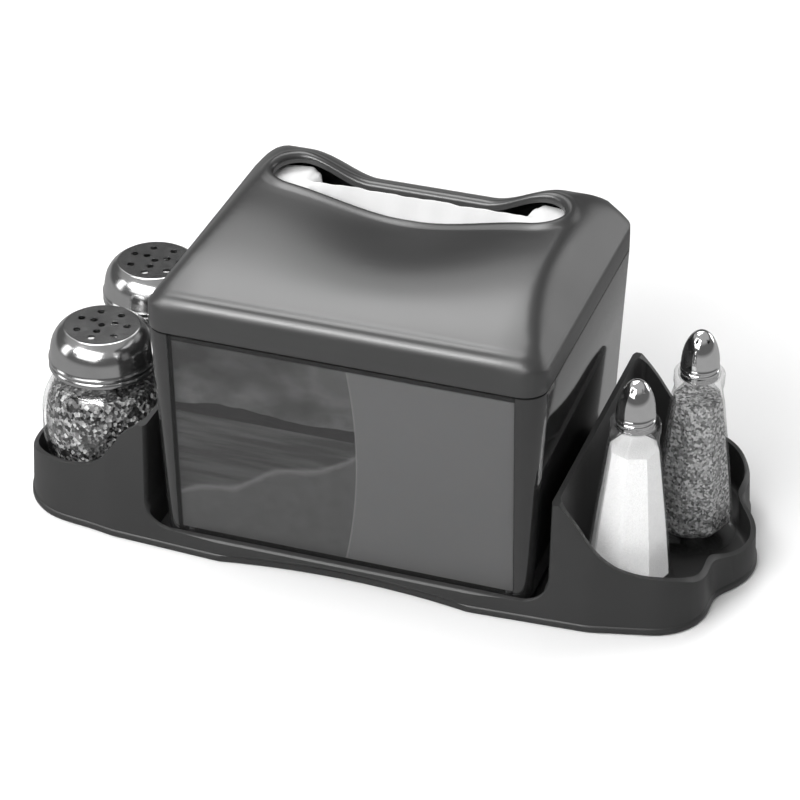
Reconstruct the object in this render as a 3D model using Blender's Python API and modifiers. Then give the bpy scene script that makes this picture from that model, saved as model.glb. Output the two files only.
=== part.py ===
"""Countertop napkin dispenser in a condiment caddy, with two jar shakers and two tower shakers.

Millimetre sizes are turned into metres by `mm`. X runs along the front, Y towards the back, Z up.
The table is z = 0, and the dispenser's centre line is x = 0, y = 0.
"""

import math

import bmesh
import bpy
from mathutils import Vector

mm = 0.001
FIT = 0.3                    # gap between pieces that touch
DRAFT = math.radians(3.0)    # lean of the caddy's moulded walls

# ---------------------------------------------------------------- dispenser box
BOX_LONG = 197.0             # over the cover and the rim of the body
BOX_DEEP = 159.0
BOX_CORNER = 12.0            # plan radius of the box corners
BODY_DRAFT = math.radians(2.5)
BODY_WALL = 2.5
SEAM_Z = 126.6               # where the cover meets the body
SEAM_GAP = 0.6

# ---------------------------------------------------------------- cover
COVER_WALL = 2.4
SKIRT = 9.4                  # upright band of the cover above the seam
LIP_RISE = 10.0              # rounded lip above the skirt
LIP_RUN = 8.0
CREST_RISE = 14.6            # swell of the cover top above its lip
SADDLE_DIP = 10.5            # sag of the cover's middle
SADDLE_FLAT = 30.0           # half length of the level middle of the sag
SADDLE_END = 66.0            # where the sag has died out
SLOT_LONG = 154.0            # outside of the rolled slot lip
SLOT_WIDE = 33.0
SLOT_Y = 35.0                # the slot sits behind the middle of the cover
SLOT_ROLL = 3.0              # radius of the rolled slot lip
SLOT_SKIRT = 2.0             # upright band under the roll
BEAD_RISE = 1.2              # raised bead round the slot
BEAD_RUN = 5.0

# ---------------------------------------------------------------- caddy
FOOT_RISE = 0.8              # caddy rim above the table
PLINTH_TOP = 4.0
PLINTH_STEP = 0.8
TRAY_WALL = 2.5
TRAY_FLOOR = 5.0             # top of the floor
TRAY_FLOOR_THICK = 2.4
TRAY_DEEP = 158.6            # front to back at the foot
RIM_RADIUS = 29.0            # plan radius of the caddy's corners
SIDE_LOBE_X = 143.5          # centres of the bulges that hold the two jars
SIDE_LOBE_Y = 34.0
SIDE_LOBE_R = 36.0
END_LOBE_X = 150.6           # centre of the bulge that holds a tower shaker
END_LOBE_R = 35.4
DIVIDER_X = 102.2            # box side of the walls beside the dispenser
DIVIDER_TOP = 67.5
LIP_TOP = 12.5               # low lip in front of and behind the dispenser
LIP_IN = 3.0                 # thickness of that lip
MOUTH_RADIUS = 14.0          # lower corners of the front and back mouths
ROLL_SIDE = 5.5              # rounding where a pocket wall turns into a divider
ROLL_LIP = 1.6
POCKET_CORNER = 7.0          # plan radius inside the pockets
WAIST_DEPTH = 6.0            # hollow in the foot of the front and back
WAIST_HALF = 65.0
WAIST_TOP = 9.5

# ---------------------------------------------------------------- inside the dispenser
PAD = 12.0                   # diameter of the rubber feet
BASE_THICK = 2.4
FLANGE = 7.0                 # ledge inside the foot of the body
CARD_LONG = 169.0
CARD_TALL = 109.0
CARD_THICK = 0.5
RETAINER_THICK = 1.2
STACK_LONG = 165.0           # a folded napkin
STACK_DEEP = 122.0
STACK_TOP = 134.0
STACK_TALL = 64.0
STACK_Y = 7.0
FOLLOWER_THICK = 3.0
FOLLOWER_RIM = 9.0
SPRING_R = 30.0
SPRING_WIRE = 2.2
SPRING_TURNS = 5
HINGE_R = 3.2
PIN_R = 1.5
HINGE_OUT = 3.9              # hinge axis behind the box
HINGE_SPAN = 120.0
KNUCKLES = 5

# ---------------------------------------------------------------- shakers
JAR_X = -140.3
JAR_Y = 33.5
JAR_R = 32.9                 # widest part of the fluted glass
JAR_TALL = 74.0
JAR_WALL = 2.2
JAR_NECK_R = 23.9            # outside of the glass thread
JAR_FLUTES = 14
JAR_FLUTE = 1.3              # depth of the flutes
LID_R = 27.2
LID_TOP = 94.7
LID_TALL = 20.8
LID_DISC_R = 18.5
LID_WALL = 0.8
HOLE_R = 1.9
TOWER_PLACES = (("salt", 132.1, -37.8), ("pepper", 149.4, 14.6))
TOWER_TALL = 116.0
TOWER_BASE_R = 22.6
TOWER_NECK_R = 8.5
TOWER_COLLAR_R = 12.3
TOWER_COLLAR = 93.2          # height of the glass collar round the cap
GROOVE = 2.6                 # depth of the groove that the cap's skirt drops into
TOWER_GLASS = 98.0           # height of the glass
TOWER_WALL = 2.2
TOWER_FOOT = 9.0             # solid glass under the filling
TOWER_SIDES = 8
CAP_R = 9.3                  # skirt of the cap
CAP_WALL = 0.5


# ================================================================ helpers
def start_scene():
    for old in list(bpy.data.objects):
        bpy.data.objects.remove(old, do_unlink=True)
    parts = bpy.data.collections.new("napkin_dispenser")
    cutters = bpy.data.collections.new("cutters")
    for group in (parts, cutters):
        bpy.context.scene.collection.children.link(group)
    cutters.hide_render = True
    return parts, cutters


PARTS, CUTTERS = start_scene()
MATERIALS = {}


def material(name, colour, roughness=0.5, metallic=0.0, clear=0.0):
    if name not in MATERIALS:
        made = bpy.data.materials.new(name)
        made.use_nodes = True
        surface = made.node_tree.nodes["Principled BSDF"]
        surface.inputs["Base Color"].default_value = (*colour, 1.0)
        surface.inputs["Roughness"].default_value = roughness
        surface.inputs["Metallic"].default_value = metallic
        surface.inputs["Transmission Weight"].default_value = clear
        MATERIALS[name] = made
    return MATERIALS[name]


CADDY_PLASTIC = ("caddy_plastic", (0.045, 0.045, 0.05), 0.35)
COVER_PLASTIC = ("cover_plastic", (0.06, 0.06, 0.065), 0.3)
SMOKED_PLASTIC = ("smoked_plastic", (0.1, 0.1, 0.11), 0.1, 0.0, 0.6)
INNER_PLASTIC = ("inner_plastic", (0.03, 0.03, 0.03), 0.5)
CLEAR_PLASTIC = ("clear_plastic", (0.7, 0.7, 0.7), 0.15, 0.0, 0.8)
RUBBER = ("rubber", (0.02, 0.02, 0.02), 0.9)
PAPER = ("paper", (0.85, 0.85, 0.84), 0.9)
CARD = ("printed_card", (0.3, 0.3, 0.31), 0.6)
STEEL = ("polished_steel", (0.7, 0.7, 0.7), 0.15, 1.0)
SPRING_STEEL = ("spring_steel", (0.5, 0.5, 0.5), 0.3, 1.0)
CHROME = ("chrome", (0.8, 0.8, 0.8), 0.06, 1.0)
GLASS = ("glass", (0.95, 0.95, 0.95), 0.03, 0.0, 1.0)
FLAKES = ("dried_flakes", (0.35, 0.12, 0.05), 0.8)
SALT = ("salt", (0.9, 0.9, 0.9), 0.8)
PEPPER = ("ground_pepper", (0.2, 0.18, 0.15), 0.9)


def finish(name, shape, look, smooth=False, cutter=False):
    """Adds a filled mesh to the scene as one object."""
    bmesh.ops.recalc_face_normals(shape, faces=shape.faces)
    mesh = bpy.data.meshes.new(name)
    shape.to_mesh(mesh)
    shape.free()
    obj = bpy.data.objects.new(name, mesh)
    if cutter:
        CUTTERS.objects.link(obj)
        obj.hide_render = True
        obj.display_type = "WIRE"
        return obj
    PARTS.objects.link(obj)
    mesh.materials.append(material(*look))
    if smooth:
        for face in mesh.polygons:
            face.use_smooth = True
    return obj


def ring(points, z=None):
    """A loop of points in metres from millimetres, at one height or each with its own."""
    if z is None:
        return [Vector(p) * mm for p in points]
    return [Vector((p[0], p[1], z)) * mm for p in points]


def loft(name, rings, look=None, smooth=False, cutter=False, tube=False):
    """Skins loops that have the same count. A tube joins the last loop to the first."""
    shape = bmesh.new()
    loops = [[shape.verts.new(p) for p in points] for points in rings]
    count = len(loops[0])
    pairs = list(zip(loops[:-1], loops[1:]))
    if tube:
        pairs.append((loops[-1], loops[0]))
    for low, high in pairs:
        for i in range(count):
            j = (i + 1) % count
            shape.faces.new((low[i], low[j], high[j], high[i]))
    if not tube:
        shape.faces.new(loops[0])
        shape.faces.new(list(reversed(loops[-1])))
    return finish(name, shape, look, smooth, cutter)


def turned(name, outline, steps, look=None, x=0.0, y=0.0, cutter=False, turn=0.0):
    """A Screw modifier turns (radius, height) pairs that run down the outer side."""
    shape = bmesh.new()
    verts = [shape.verts.new((r * mm, 0, z * mm)) for r, z in outline]
    for a, b in zip(verts[:-1], verts[1:]):
        shape.edges.new((a, b))
    if outline[0][0] > 0 and outline[-1][0] > 0:
        shape.edges.new((verts[-1], verts[0]))
    mesh = bpy.data.meshes.new(name)
    shape.to_mesh(mesh)
    shape.free()
    obj = bpy.data.objects.new(name, mesh)
    group = CUTTERS if cutter else PARTS
    group.objects.link(obj)
    obj.location = (x * mm, y * mm, 0)
    obj.rotation_euler = (0, 0, turn)
    screw = obj.modifiers.new("turn", "SCREW")
    screw.axis = "Z"
    screw.steps = steps
    screw.render_steps = steps
    screw.use_merge_vertices = True
    screw.merge_threshold = 1e-5
    screw.use_smooth_shade = True
    if cutter:
        obj.hide_render = True
        obj.display_type = "WIRE"
    else:
        mesh.materials.append(material(*look))
    return obj


def box(name, low, high, look=None, cutter=False, bevel=0.0):
    shape = bmesh.new()
    bmesh.ops.create_cube(shape, size=1.0)
    size = [b - a for a, b in zip(low, high)]
    middle = [(a + b) / 2 for a, b in zip(low, high)]
    bmesh.ops.scale(shape, vec=Vector(size) * mm, verts=shape.verts)
    bmesh.ops.translate(shape, vec=Vector(middle) * mm, verts=shape.verts)
    obj = finish(name, shape, look, cutter=cutter)
    if bevel:
        soft = obj.modifiers.new("soften", "BEVEL")
        soft.width = bevel * mm
        soft.segments = 2
    return obj


def boolean(target, other, operation):
    change = target.modifiers.new(operation.lower(), "BOOLEAN")
    change.operation = operation
    change.solver = "EXACT"
    change.object = other


def cut(target, *cutters):
    for cutter in cutters:
        boolean(target, cutter, "DIFFERENCE")


def add(target, *pieces):
    for piece in pieces:
        boolean(target, piece, "UNION")


def smooth_least(a, b, blend):
    """The smaller of two values, rounded over where they're close."""
    h = max(blend - abs(a - b), 0.0) / blend
    return min(a, b) - h * h * blend / 4


def smooth_step(low, high, value):
    t = min(max((value - low) / (high - low), 0.0), 1.0)
    return t * t * (3 - 2 * t)


# ================================================================ plan shapes
def box_outline(inset, per_corner=5, per_long=1, per_deep=1):
    """The dispenser's rounded rectangle, shrunk by inset, from the middle of the right side."""
    half_x = BOX_LONG / 2 - inset
    half_y = BOX_DEEP / 2 - inset
    radius = max(BOX_CORNER - inset * 0.8, 2.0)
    points = []
    corners = ((1, 1, 0), (-1, 1, 90), (-1, -1, 180), (1, -1, 270))
    for number, (sx, sy, start) in enumerate(corners):
        centre = (sx * (half_x - radius), sy * (half_y - radius))
        for k in range(per_corner):
            angle = math.radians(start + 90 * k / (per_corner - 1))
            points.append((centre[0] + radius * math.cos(angle), centre[1] + radius * math.sin(angle)))
        following = corners[(number + 1) % 4]
        steps = per_long if number % 2 == 0 else per_deep
        end_angle = math.radians(following[2])
        end = (
            following[0] * (half_x - radius) + radius * math.cos(end_angle),
            following[1] * (half_y - radius) + radius * math.sin(end_angle),
        )
        begin = points[-1]
        for k in range(1, steps):
            t = k / steps
            points.append((begin[0] + (end[0] - begin[0]) * t, begin[1] + (end[1] - begin[1]) * t))
    return points


def polygon_distance(corners, x, y):
    """Distance from a point to a convex polygon, negative inside."""
    outside = -1e9
    nearest = 1e9
    for (ax, ay), (bx, by) in zip(corners, corners[1:] + corners[:1]):
        ex, ey = bx - ax, by - ay
        length = math.hypot(ex, ey)
        outside = max(outside, ((x - ax) * ey - (y - ay) * ex) / length)
        t = min(max(((x - ax) * ex + (y - ay) * ey) / length**2, 0.0), 1.0)
        nearest = min(nearest, math.hypot(x - ax - t * ex, y - ay - t * ey))
    return nearest if outside > 0 else -nearest


CORE_Y = TRAY_DEEP / 2 - RIM_RADIUS
CORE = [
    (WAIST_HALF, -CORE_Y), (118.0, -CORE_Y + 2.8), (144.2, -CORE_Y + 9.4),
    (144.2, CORE_Y - 9.4), (118.0, CORE_Y - 2.8), (WAIST_HALF, CORE_Y),
    (-WAIST_HALF, CORE_Y), (-118.0, CORE_Y - 2.8), (-145.0, CORE_Y - 8.0),
    (-145.0, -CORE_Y + 8.0), (-118.0, -CORE_Y + 2.8), (-WAIST_HALF, -CORE_Y),
]


def caddy_distance(x, y):
    """Distance outwards from the caddy's edge at the foot."""
    result = polygon_distance(CORE, x, y) - RIM_RADIUS
    end_lobe = math.hypot(x - END_LOBE_X, y) - END_LOBE_R
    side_lobe = math.hypot(x + SIDE_LOBE_X, abs(y) - SIDE_LOBE_Y) - SIDE_LOBE_R
    result = smooth_least(result, end_lobe, 6.0)
    return smooth_least(result, side_lobe, 6.0)


def trace(distance, centre, targets):
    """Walks from the centre towards each target and stops where the distance turns positive."""
    points = []
    for tx, ty in targets:
        dx, dy = tx - centre[0], ty - centre[1]
        low, high = 0.0, 1.6
        for _ in range(36):
            middle = (low + high) / 2
            if distance(centre[0] + dx * middle, centre[1] + dy * middle) > 0:
                high = middle
            else:
                low = middle
        points.append((centre[0] + dx * low, centre[1] + dy * low))
    return points


def around(half_x, half_y, count_x, count_y):
    """Evenly spaced marks on a rectangle, to aim at."""
    marks = []
    for k in range(count_x):
        marks.append((-half_x + 2 * half_x * k / count_x, -half_y))
    for k in range(count_y):
        marks.append((half_x, -half_y + 2 * half_y * k / count_y))
    for k in range(count_x):
        marks.append((half_x - 2 * half_x * k / count_x, half_y))
    for k in range(count_y):
        marks.append((-half_x, half_y - 2 * half_y * k / count_y))
    return marks


def lean(z):
    """How far a caddy wall has drawn in by this height."""
    return PLINTH_STEP + (z - PLINTH_TOP) * math.tan(DRAFT)


# ================================================================ caddy tray
# how far the pocket walls have dropped below the dividers, at distances along the caddy
FALL_RIGHT = (
    (106.2, 0.0), (109.0, 2.9), (112.0, 6.3), (116.0, 11.4), (120.0, 17.4), (124.0, 22.8), (128.0, 27.0),
    (135.0, 31.9), (145.0, 35.0), (155.0, 36.0), (163.0, 38.4), (169.0, 42.4), (173.0, 45.0),
    (177.0, 46.6), (183.0, 48.2), (192.0, 50.5),
)
FALL_LEFT = (
    (106.2, 0.0), (109.0, 2.3), (112.0, 4.4), (116.0, 8.6), (120.0, 14.7), (124.0, 20.5), (128.0, 25.3),
    (135.0, 30.0), (145.0, 32.5), (155.0, 33.4), (163.0, 34.6), (169.0, 36.6), (173.0, 39.2),
    (177.0, 41.4), (183.0, 44.5), (192.0, 48.0),
)
BACK_LOWER = 2.0             # how much lower the walls' top is at the back than at the front


def make_caddy():
    aims = around(190.0, 90.0, 34, 16)
    levels = (
        (FOOT_RISE, 0.0), (PLINTH_TOP, 0.1), (PLINTH_TOP + 0.6, PLINTH_STEP),
        (DIVIDER_TOP + 3.0, lean(DIVIDER_TOP + 3.0)),
    )
    rings = []
    for z, inset in levels:
        rings.append(ring(trace(lambda x, y: caddy_distance(x, y) + inset, (0, 0), aims), z))
    tray = loft("caddy_tray", rings, CADDY_PLASTIC)

    # the rising and falling top edge of the pocket walls
    right = [(x, DIVIDER_TOP - fall) for x, fall in FALL_RIGHT]
    left = [(-x, DIVIDER_TOP - fall) for x, fall in reversed(FALL_LEFT)]
    reach, above = 200.0, DIVIDER_TOP + 20.0
    profile = [(-reach, left[0][1])] + left + right + [(reach, right[-1][1]), (reach, above), (-reach, above)]
    half_deep = TRAY_DEEP / 2
    sides = [
        ring([(x, y, z - BACK_LOWER * (y + half_deep) / TRAY_DEEP) for x, z in profile])
        for y in (-half_deep - 20.0, half_deep + 20.0)
    ]
    top_cutter = loft("cutter_top_edge", sides, cutter=True)

    # the pockets either side of the dispenser
    floor_z = TRAY_FLOOR
    pockets = []
    for side in (-1, 1):
        rings = []
        for z, extra in ((floor_z, 3.0), (floor_z + 1.0, 1.0), (floor_z + 3.0, 0.0), (DIVIDER_TOP + 5.0, 0.0)):
            inset = lean(z) + TRAY_WALL + extra
            divider = DIVIDER_X + TRAY_WALL + extra + (DIVIDER_TOP - z) * math.tan(DRAFT) * 0.3

            def pocket(x, y, inset=inset, divider=divider):
                return -smooth_least(-(caddy_distance(x, y) + inset), side * x - divider, POCKET_CORNER)

            centre = (side * 138.0, 0.0)
            aims = [(centre[0] + x, y) for x, y in around(40.0, 78.0, 9, 17)]
            rings.append(ring(trace(pocket, centre, aims), z))
        pockets.append(loft(f"cutter_pocket_{'left' if side < 0 else 'right'}", rings, cutter=True))

    # the bay that the dispenser stands in, and the open mouths in front of it and behind it
    bay_half = DIVIDER_X - 1.6
    bay_y = TRAY_DEEP / 2 - lean(LIP_TOP) - LIP_IN
    bay = loft(
        "cutter_bay",
        [
            ring([(-bay_half, -bay_y), (bay_half, -bay_y), (bay_half, bay_y), (-bay_half, bay_y)], floor_z),
            ring([(-DIVIDER_X, -bay_y - 0.1), (DIVIDER_X, -bay_y - 0.1),
                  (DIVIDER_X, bay_y + 0.1), (-DIVIDER_X, bay_y + 0.1)], DIVIDER_TOP + 5.0),
        ],
        cutter=True,
    )
    mouth = make_mouth()
    underside = loft(
        "cutter_underside",
        [
            ring(trace(lambda x, y: caddy_distance(x, y) + 7.0, (0, 0), around(190.0, 90.0, 20, 10)), z)
            for z in (-1.0, TRAY_FLOOR - TRAY_FLOOR_THICK)
        ],
        cutter=True,
    )
    cut(tray, *pockets, bay, mouth, underside, top_cutter)
    for side in (-1, 1):
        cut(tray, make_waist(side))
    return tray


def mouth_section(extra_side, extra_low):
    """The U shape of the mouth, grown sideways and downwards."""
    half = DIVIDER_X + extra_side
    low = LIP_TOP - extra_low
    points = [(half, DIVIDER_TOP + 6.0)]
    for k in range(7):
        angle = math.radians(90 * k / 6)
        points.append((half - MOUTH_RADIUS * (1 - math.cos(angle)), low + MOUTH_RADIUS * (1 - math.sin(angle))))
    points += [(-x, z) for x, z in reversed(points)]
    return points


def make_mouth():
    """Cuts both mouths in one go, and rounds the edges where they meet the outer walls."""
    steps = 4
    half_deep = TRAY_DEEP / 2
    rings = []
    offsets = [(half_deep + 8.0, 1.0)]
    for k in range(steps + 1):
        angle = math.radians(90 * k / steps)
        offsets.append((half_deep - ROLL_SIDE * math.sin(angle), 1.0 - math.sin(angle) if k else 1.0))
    graded = []
    for k, (y, _) in enumerate(offsets):
        if k == 0:
            graded.append((y, 1.0))
            continue
        depth = half_deep - y
        graded.append((y, 1.0 - math.sqrt(max(1.0 - (1.0 - depth / ROLL_SIDE) ** 2, 0.0))))
    for sign in (-1, 1):
        run = graded if sign < 0 else list(reversed(graded))
        for y, grow in run:
            section = mouth_section(ROLL_SIDE * grow, ROLL_LIP * grow)
            rings.append(ring([(x, sign * (y - lean(z)), z) for x, z in section]))
    return loft("cutter_mouths", rings, cutter=True)


def make_waist(side):
    """The shallow hollow in the foot of the front and the back."""
    radius = (WAIST_HALF**2 + WAIST_DEPTH**2) / (2 * WAIST_DEPTH)
    centre = side * (TRAY_DEEP / 2 - WAIST_DEPTH + radius)
    rings = []
    for z, grow in ((-1.0, 0.0), (PLINTH_TOP, 0.0), (WAIST_TOP, -WAIST_DEPTH + 1.0)):
        points = []
        for k in range(13):
            angle = math.radians(-12 + 2 * k)
            points.append(((radius + grow) * math.sin(angle), centre - side * (radius + grow) * math.cos(angle)))
        points.append((80.0, side * 120.0))
        points.append((-80.0, side * 120.0))
        rings.append(ring(points, z))
    return loft(f"cutter_waist_{'front' if side < 0 else 'back'}", rings, cutter=True)


def make_caddy_feet():
    places = ((-150, -40), (-150, 40), (0, 0), (150, -35), (150, 35))
    for number, (x, y) in enumerate(places, 1):
        top = TRAY_FLOOR - TRAY_FLOOR_THICK - FIT
        outline = [(0, top), (PAD / 2, top), (PAD / 2, 0.4), (PAD / 2 - 0.4, 0), (0, 0)]
        turned(f"caddy_foot_{number}", outline, 16, RUBBER, x, y)


# ================================================================ dispenser body
PAD_TALL = 1.6
BODY_FOOT = TRAY_FLOOR + FIT + PAD_TALL + FIT
SHELL_FOOT = BODY_FOOT + BASE_THICK + FIT
BODY_TOP = SEAM_Z - SEAM_GAP / 2


def body_inset(z):
    """How far the body's outside has drawn in below the rim."""
    return (SEAM_Z - z) * math.tan(BODY_DRAFT)


def make_body():
    top, foot = BODY_TOP, SHELL_FOOT
    flange_top = foot + 2.5
    rings = [
        ring(box_outline(body_inset(foot)), foot),
        ring(box_outline(body_inset(top)), top),
        ring(box_outline(body_inset(top) + BODY_WALL), top),
        ring(box_outline(body_inset(flange_top) + BODY_WALL), flange_top),
        ring(box_outline(body_inset(foot) + BODY_WALL + FLANGE), flange_top),
        ring(box_outline(body_inset(foot) + BODY_WALL + FLANGE), foot),
    ]
    shell = loft("body_shell", rings, SMOKED_PLASTIC, tube=True)
    return shell


def make_base():
    foot = BODY_FOOT
    inset = body_inset(SHELL_FOOT) + 0.4
    plate = loft(
        "base_plate",
        [ring(box_outline(inset + grow), z) for z, grow in ((foot, 0.8), (foot + 0.8, 0.0), (foot + BASE_THICK, 0.0))],
        INNER_PLASTIC,
    )
    cup_r = SPRING_R + SPRING_WIRE + 2.0
    cup = turned(
        "cutter_spring_cup",
        [(cup_r + 2.0, foot + BASE_THICK + 5.0), (cup_r + 2.0, foot + 1.0), (cup_r, foot + 1.0),
         (cup_r, foot + BASE_THICK + 5.0)],
        28, cutter=True, y=STACK_Y,
    )
    add(plate, cup)
    inset_flange = body_inset(SHELL_FOOT) + BODY_WALL + FLANGE / 2
    places = [
        (sx * (BOX_LONG / 2 - inset_flange - 6.0), sy * (BOX_DEEP / 2 - inset_flange))
        for sx in (-1, 1) for sy in (-1, 1)
    ]
    for number, (x, y) in enumerate(places, 1):
        hole = turned(
            f"cutter_screw_{number}",
            [(0, foot + BASE_THICK + 4), (1.8, foot + BASE_THICK + 4), (1.8, foot + 1.4), (4.0, foot - 1), (0, foot - 1)],
            12, cutter=True, x=x, y=y,
        )
        cut(plate, hole)
        cut(bpy.data.objects["body_shell"], hole)
        turned(
            f"base_screw_{number}",
            [(0, foot + BASE_THICK + 2.4), (1.5, foot + BASE_THICK + 2.4), (1.5, foot + 1.2), (2.6, foot + 0.2), (0, foot + 0.2)],
            12, STEEL, x, y,
        )
        pad_x = x - math.copysign(14.0, x)
        pad_y = y - math.copysign(10.0, y)
        low = TRAY_FLOOR + FIT
        turned(
            f"body_foot_{number}",
            [(0, low + PAD_TALL), (PAD / 2, low + PAD_TALL), (PAD / 2, low), (0, low)],
            16, RUBBER, pad_x, pad_y,
        )


def leaning_panel(name, half_long, low, high, front_gap, thick, look):
    """A flat panel held parallel to the drafted front wall."""
    def front(z):
        return -(BOX_DEEP / 2 - body_inset(z) - BODY_WALL - front_gap)
    back_ring = ring([
        (-half_long, front(low) + thick, low), (half_long, front(low) + thick, low),
        (half_long, front(high) + thick, high), (-half_long, front(high) + thick, high),
    ])
    front_ring = ring([
        (-half_long, front(low), low), (half_long, front(low), low),
        (half_long, front(high), high), (-half_long, front(high), high),
    ])
    return loft(name, [front_ring, back_ring], look)


def make_card():
    low = SHELL_FOOT + 2.5 + FIT
    leaning_panel("advert_card", CARD_LONG / 2, low, low + CARD_TALL, FIT, CARD_THICK, CARD)
    gap = FIT + CARD_THICK + FIT
    leaning_panel("card_retainer", CARD_LONG / 2 + 1.0, low, low + CARD_TALL + 2.0, gap, RETAINER_THICK, INNER_PLASTIC)


# ================================================================ spring platform and napkins
FOLLOWER_TOP = STACK_TOP - STACK_TALL - FIT


def make_follower():
    top = FOLLOWER_TOP
    half_x = STACK_LONG / 2 + 2.0
    half_y = STACK_DEEP / 2 + 2.0
    low_y, high_y = STACK_Y - half_y, STACK_Y + half_y
    plate = box("follower_plate", (-half_x, low_y, top - FOLLOWER_RIM), (half_x, high_y, top), INNER_PLASTIC)
    hollow = box(
        "cutter_follower",
        (-half_x + 2.5, low_y + 2.5, top - FOLLOWER_RIM - 1), (half_x - 2.5, high_y - 2.5, top - FOLLOWER_THICK),
        cutter=True,
    )
    cut(plate, hollow)
    boss_r = SPRING_R - SPRING_WIRE - 1.5
    boss = turned(
        "cutter_follower_boss",
        [(boss_r, top - 1.0), (boss_r, top - FOLLOWER_RIM), (boss_r - 2.0, top - FOLLOWER_RIM), (boss_r - 2.0, top - 1.0)],
        28, cutter=True, y=STACK_Y,
    )
    add(plate, boss)


def make_spring():
    low = BODY_FOOT + BASE_THICK + FIT + SPRING_WIRE / 2
    high = FOLLOWER_TOP - FOLLOWER_THICK - FIT - SPRING_WIRE / 2
    path = bpy.data.curves.new("lift_spring", "CURVE")
    path.dimensions = "3D"
    path.bevel_depth = SPRING_WIRE / 2 * mm
    path.bevel_resolution = 2
    path.use_fill_caps = True
    per_turn = 16
    count = SPRING_TURNS * per_turn + 1
    spline = path.splines.new("POLY")
    spline.points.add(count - 1)
    for k in range(count):
        turn = k / per_turn
        t = smooth_step(0.0, 1.0, k / (count - 1)) * 0.35 + 0.65 * k / (count - 1)
        angle = 2 * math.pi * turn
        x = SPRING_R * math.cos(angle)
        y = STACK_Y + SPRING_R * math.sin(angle)
        spline.points[k].co = (x * mm, y * mm, (low + (high - low) * t) * mm, 1.0)
    path.materials.append(material(*SPRING_STEEL))
    obj = bpy.data.objects.new("lift_spring", path)
    PARTS.objects.link(obj)


FOLD_Y = 35.0
HALF_NAPKIN = (              # x, front, back, height of the pile pressed up into the slot, ridge
    (79.0, 25.0, 49.0, 150.5, 150.9), (77.0, 22.8, 51.5, 153.0, 153.5), (60.0, 22.4, 52.0, 153.8, 154.3),
    (56.0, 22.8, 50.0, 152.4, 154.6), (51.0, 27.0, 43.0, 148.0, 155.0), (44.0, 27.0, 42.0, 143.5, 155.0),
    (30.0, 27.0, 42.0, 142.0, 155.0),
)
NAPKIN_STATIONS = [(-x, *rest) for x, *rest in HALF_NAPKIN] + list(reversed(HALF_NAPKIN))


def make_napkins():
    low = STACK_TOP - STACK_TALL
    box(
        "napkin_stack",
        (-STACK_LONG / 2, STACK_Y - STACK_DEEP / 2, low), (STACK_LONG / 2, STACK_Y + STACK_DEEP / 2, STACK_TOP),
        PAPER, bevel=2.0,
    )
    foot = STACK_TOP + FIT
    rings = []
    for x, front, back, shoulder, peak in NAPKIN_STATIONS:
        rise = peak - shoulder
        rings.append(ring([
            (x, front, foot), (x, back, foot), (x, back, shoulder),
            (x, FOLD_Y + 2.6, shoulder + rise * 0.35), (x, FOLD_Y + 0.9, peak - rise * 0.03),
            (x, FOLD_Y, peak), (x, FOLD_Y - 1.1, peak - rise * 0.05),
            (x, FOLD_Y - 3.6, shoulder + rise * 0.45), (x, front, shoulder),
        ]))
    loft("first_napkin", rings, PAPER, smooth=False)


# ================================================================ cover
def corner_insets(x, y):
    """Distances in from the end wall and from the front or back wall, run together round the corners."""
    qx = abs(x) - (BOX_LONG / 2 - BOX_CORNER)
    qy = abs(y) - (BOX_DEEP / 2 - BOX_CORNER)
    if qx <= 0 or qy <= 0:
        return BOX_CORNER - qx, BOX_CORNER - qy, min(BOX_CORNER - qx, BOX_CORNER - qy)
    radius = math.hypot(qx, qy)
    from_end = BOX_CORNER - radius * math.sqrt(qx / radius)
    from_side = BOX_CORNER - radius * math.sqrt(qy / radius)
    return from_end, from_side, BOX_CORNER - radius


def rounded_rise(distance, run, rise):
    if distance >= run:
        return rise
    return rise * math.sqrt(max(1.0 - (1.0 - max(distance, 0.0) / run) ** 2, 0.0))


def cover_height(x, y):
    """Height of the cover's outside over the point."""
    shoulder = SEAM_Z + SKIRT
    from_end, from_side, from_edge = corner_insets(x, y)
    swell = 1.0 - (1.0 - min(max((from_side - LIP_RUN) / 72.0, 0.0), 1.0)) ** 2.2
    if y > 0:
        swell = 1.0 - (1.0 - min(max((from_side - 2.0) / 30.0, 0.0), 1.0)) ** 2.0
    crown = shoulder + rounded_rise(from_side, LIP_RUN, LIP_RISE) + CREST_RISE * swell
    end = shoulder + rounded_rise(from_end, 2.0, 4.0) + max(from_end - 1.5, 0.0) * 1.25
    height = smooth_least(crown, end, 5.0 + 5.0 * smooth_step(0.0, 60.0, y))
    far = smooth_step(SLOT_Y - 24.0, SLOT_Y + 16.0, y)
    sag = 1.0 - smooth_step(SADDLE_FLAT * far, SADDLE_END + 10.0 * (1.0 - far), abs(x))
    reach = smooth_step(-BOX_DEEP / 2 + 10.0, SLOT_Y - SLOT_WIDE / 2 + 4.0, y)
    height -= SADDLE_DIP * sag * reach
    if from_edge < 5.0:
        height = min(height, shoulder + rounded_rise(from_edge, 5.0, 14.0))
    past_straight = max(abs(x) - (SLOT_LONG - SLOT_WIDE) / 2, 0.0)
    from_slot = math.hypot(past_straight, y - SLOT_Y) - SLOT_WIDE / 2
    height += BEAD_RISE * (1.0 - smooth_step(0.0, BEAD_RUN, from_slot))
    return max(height, shoulder)


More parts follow.
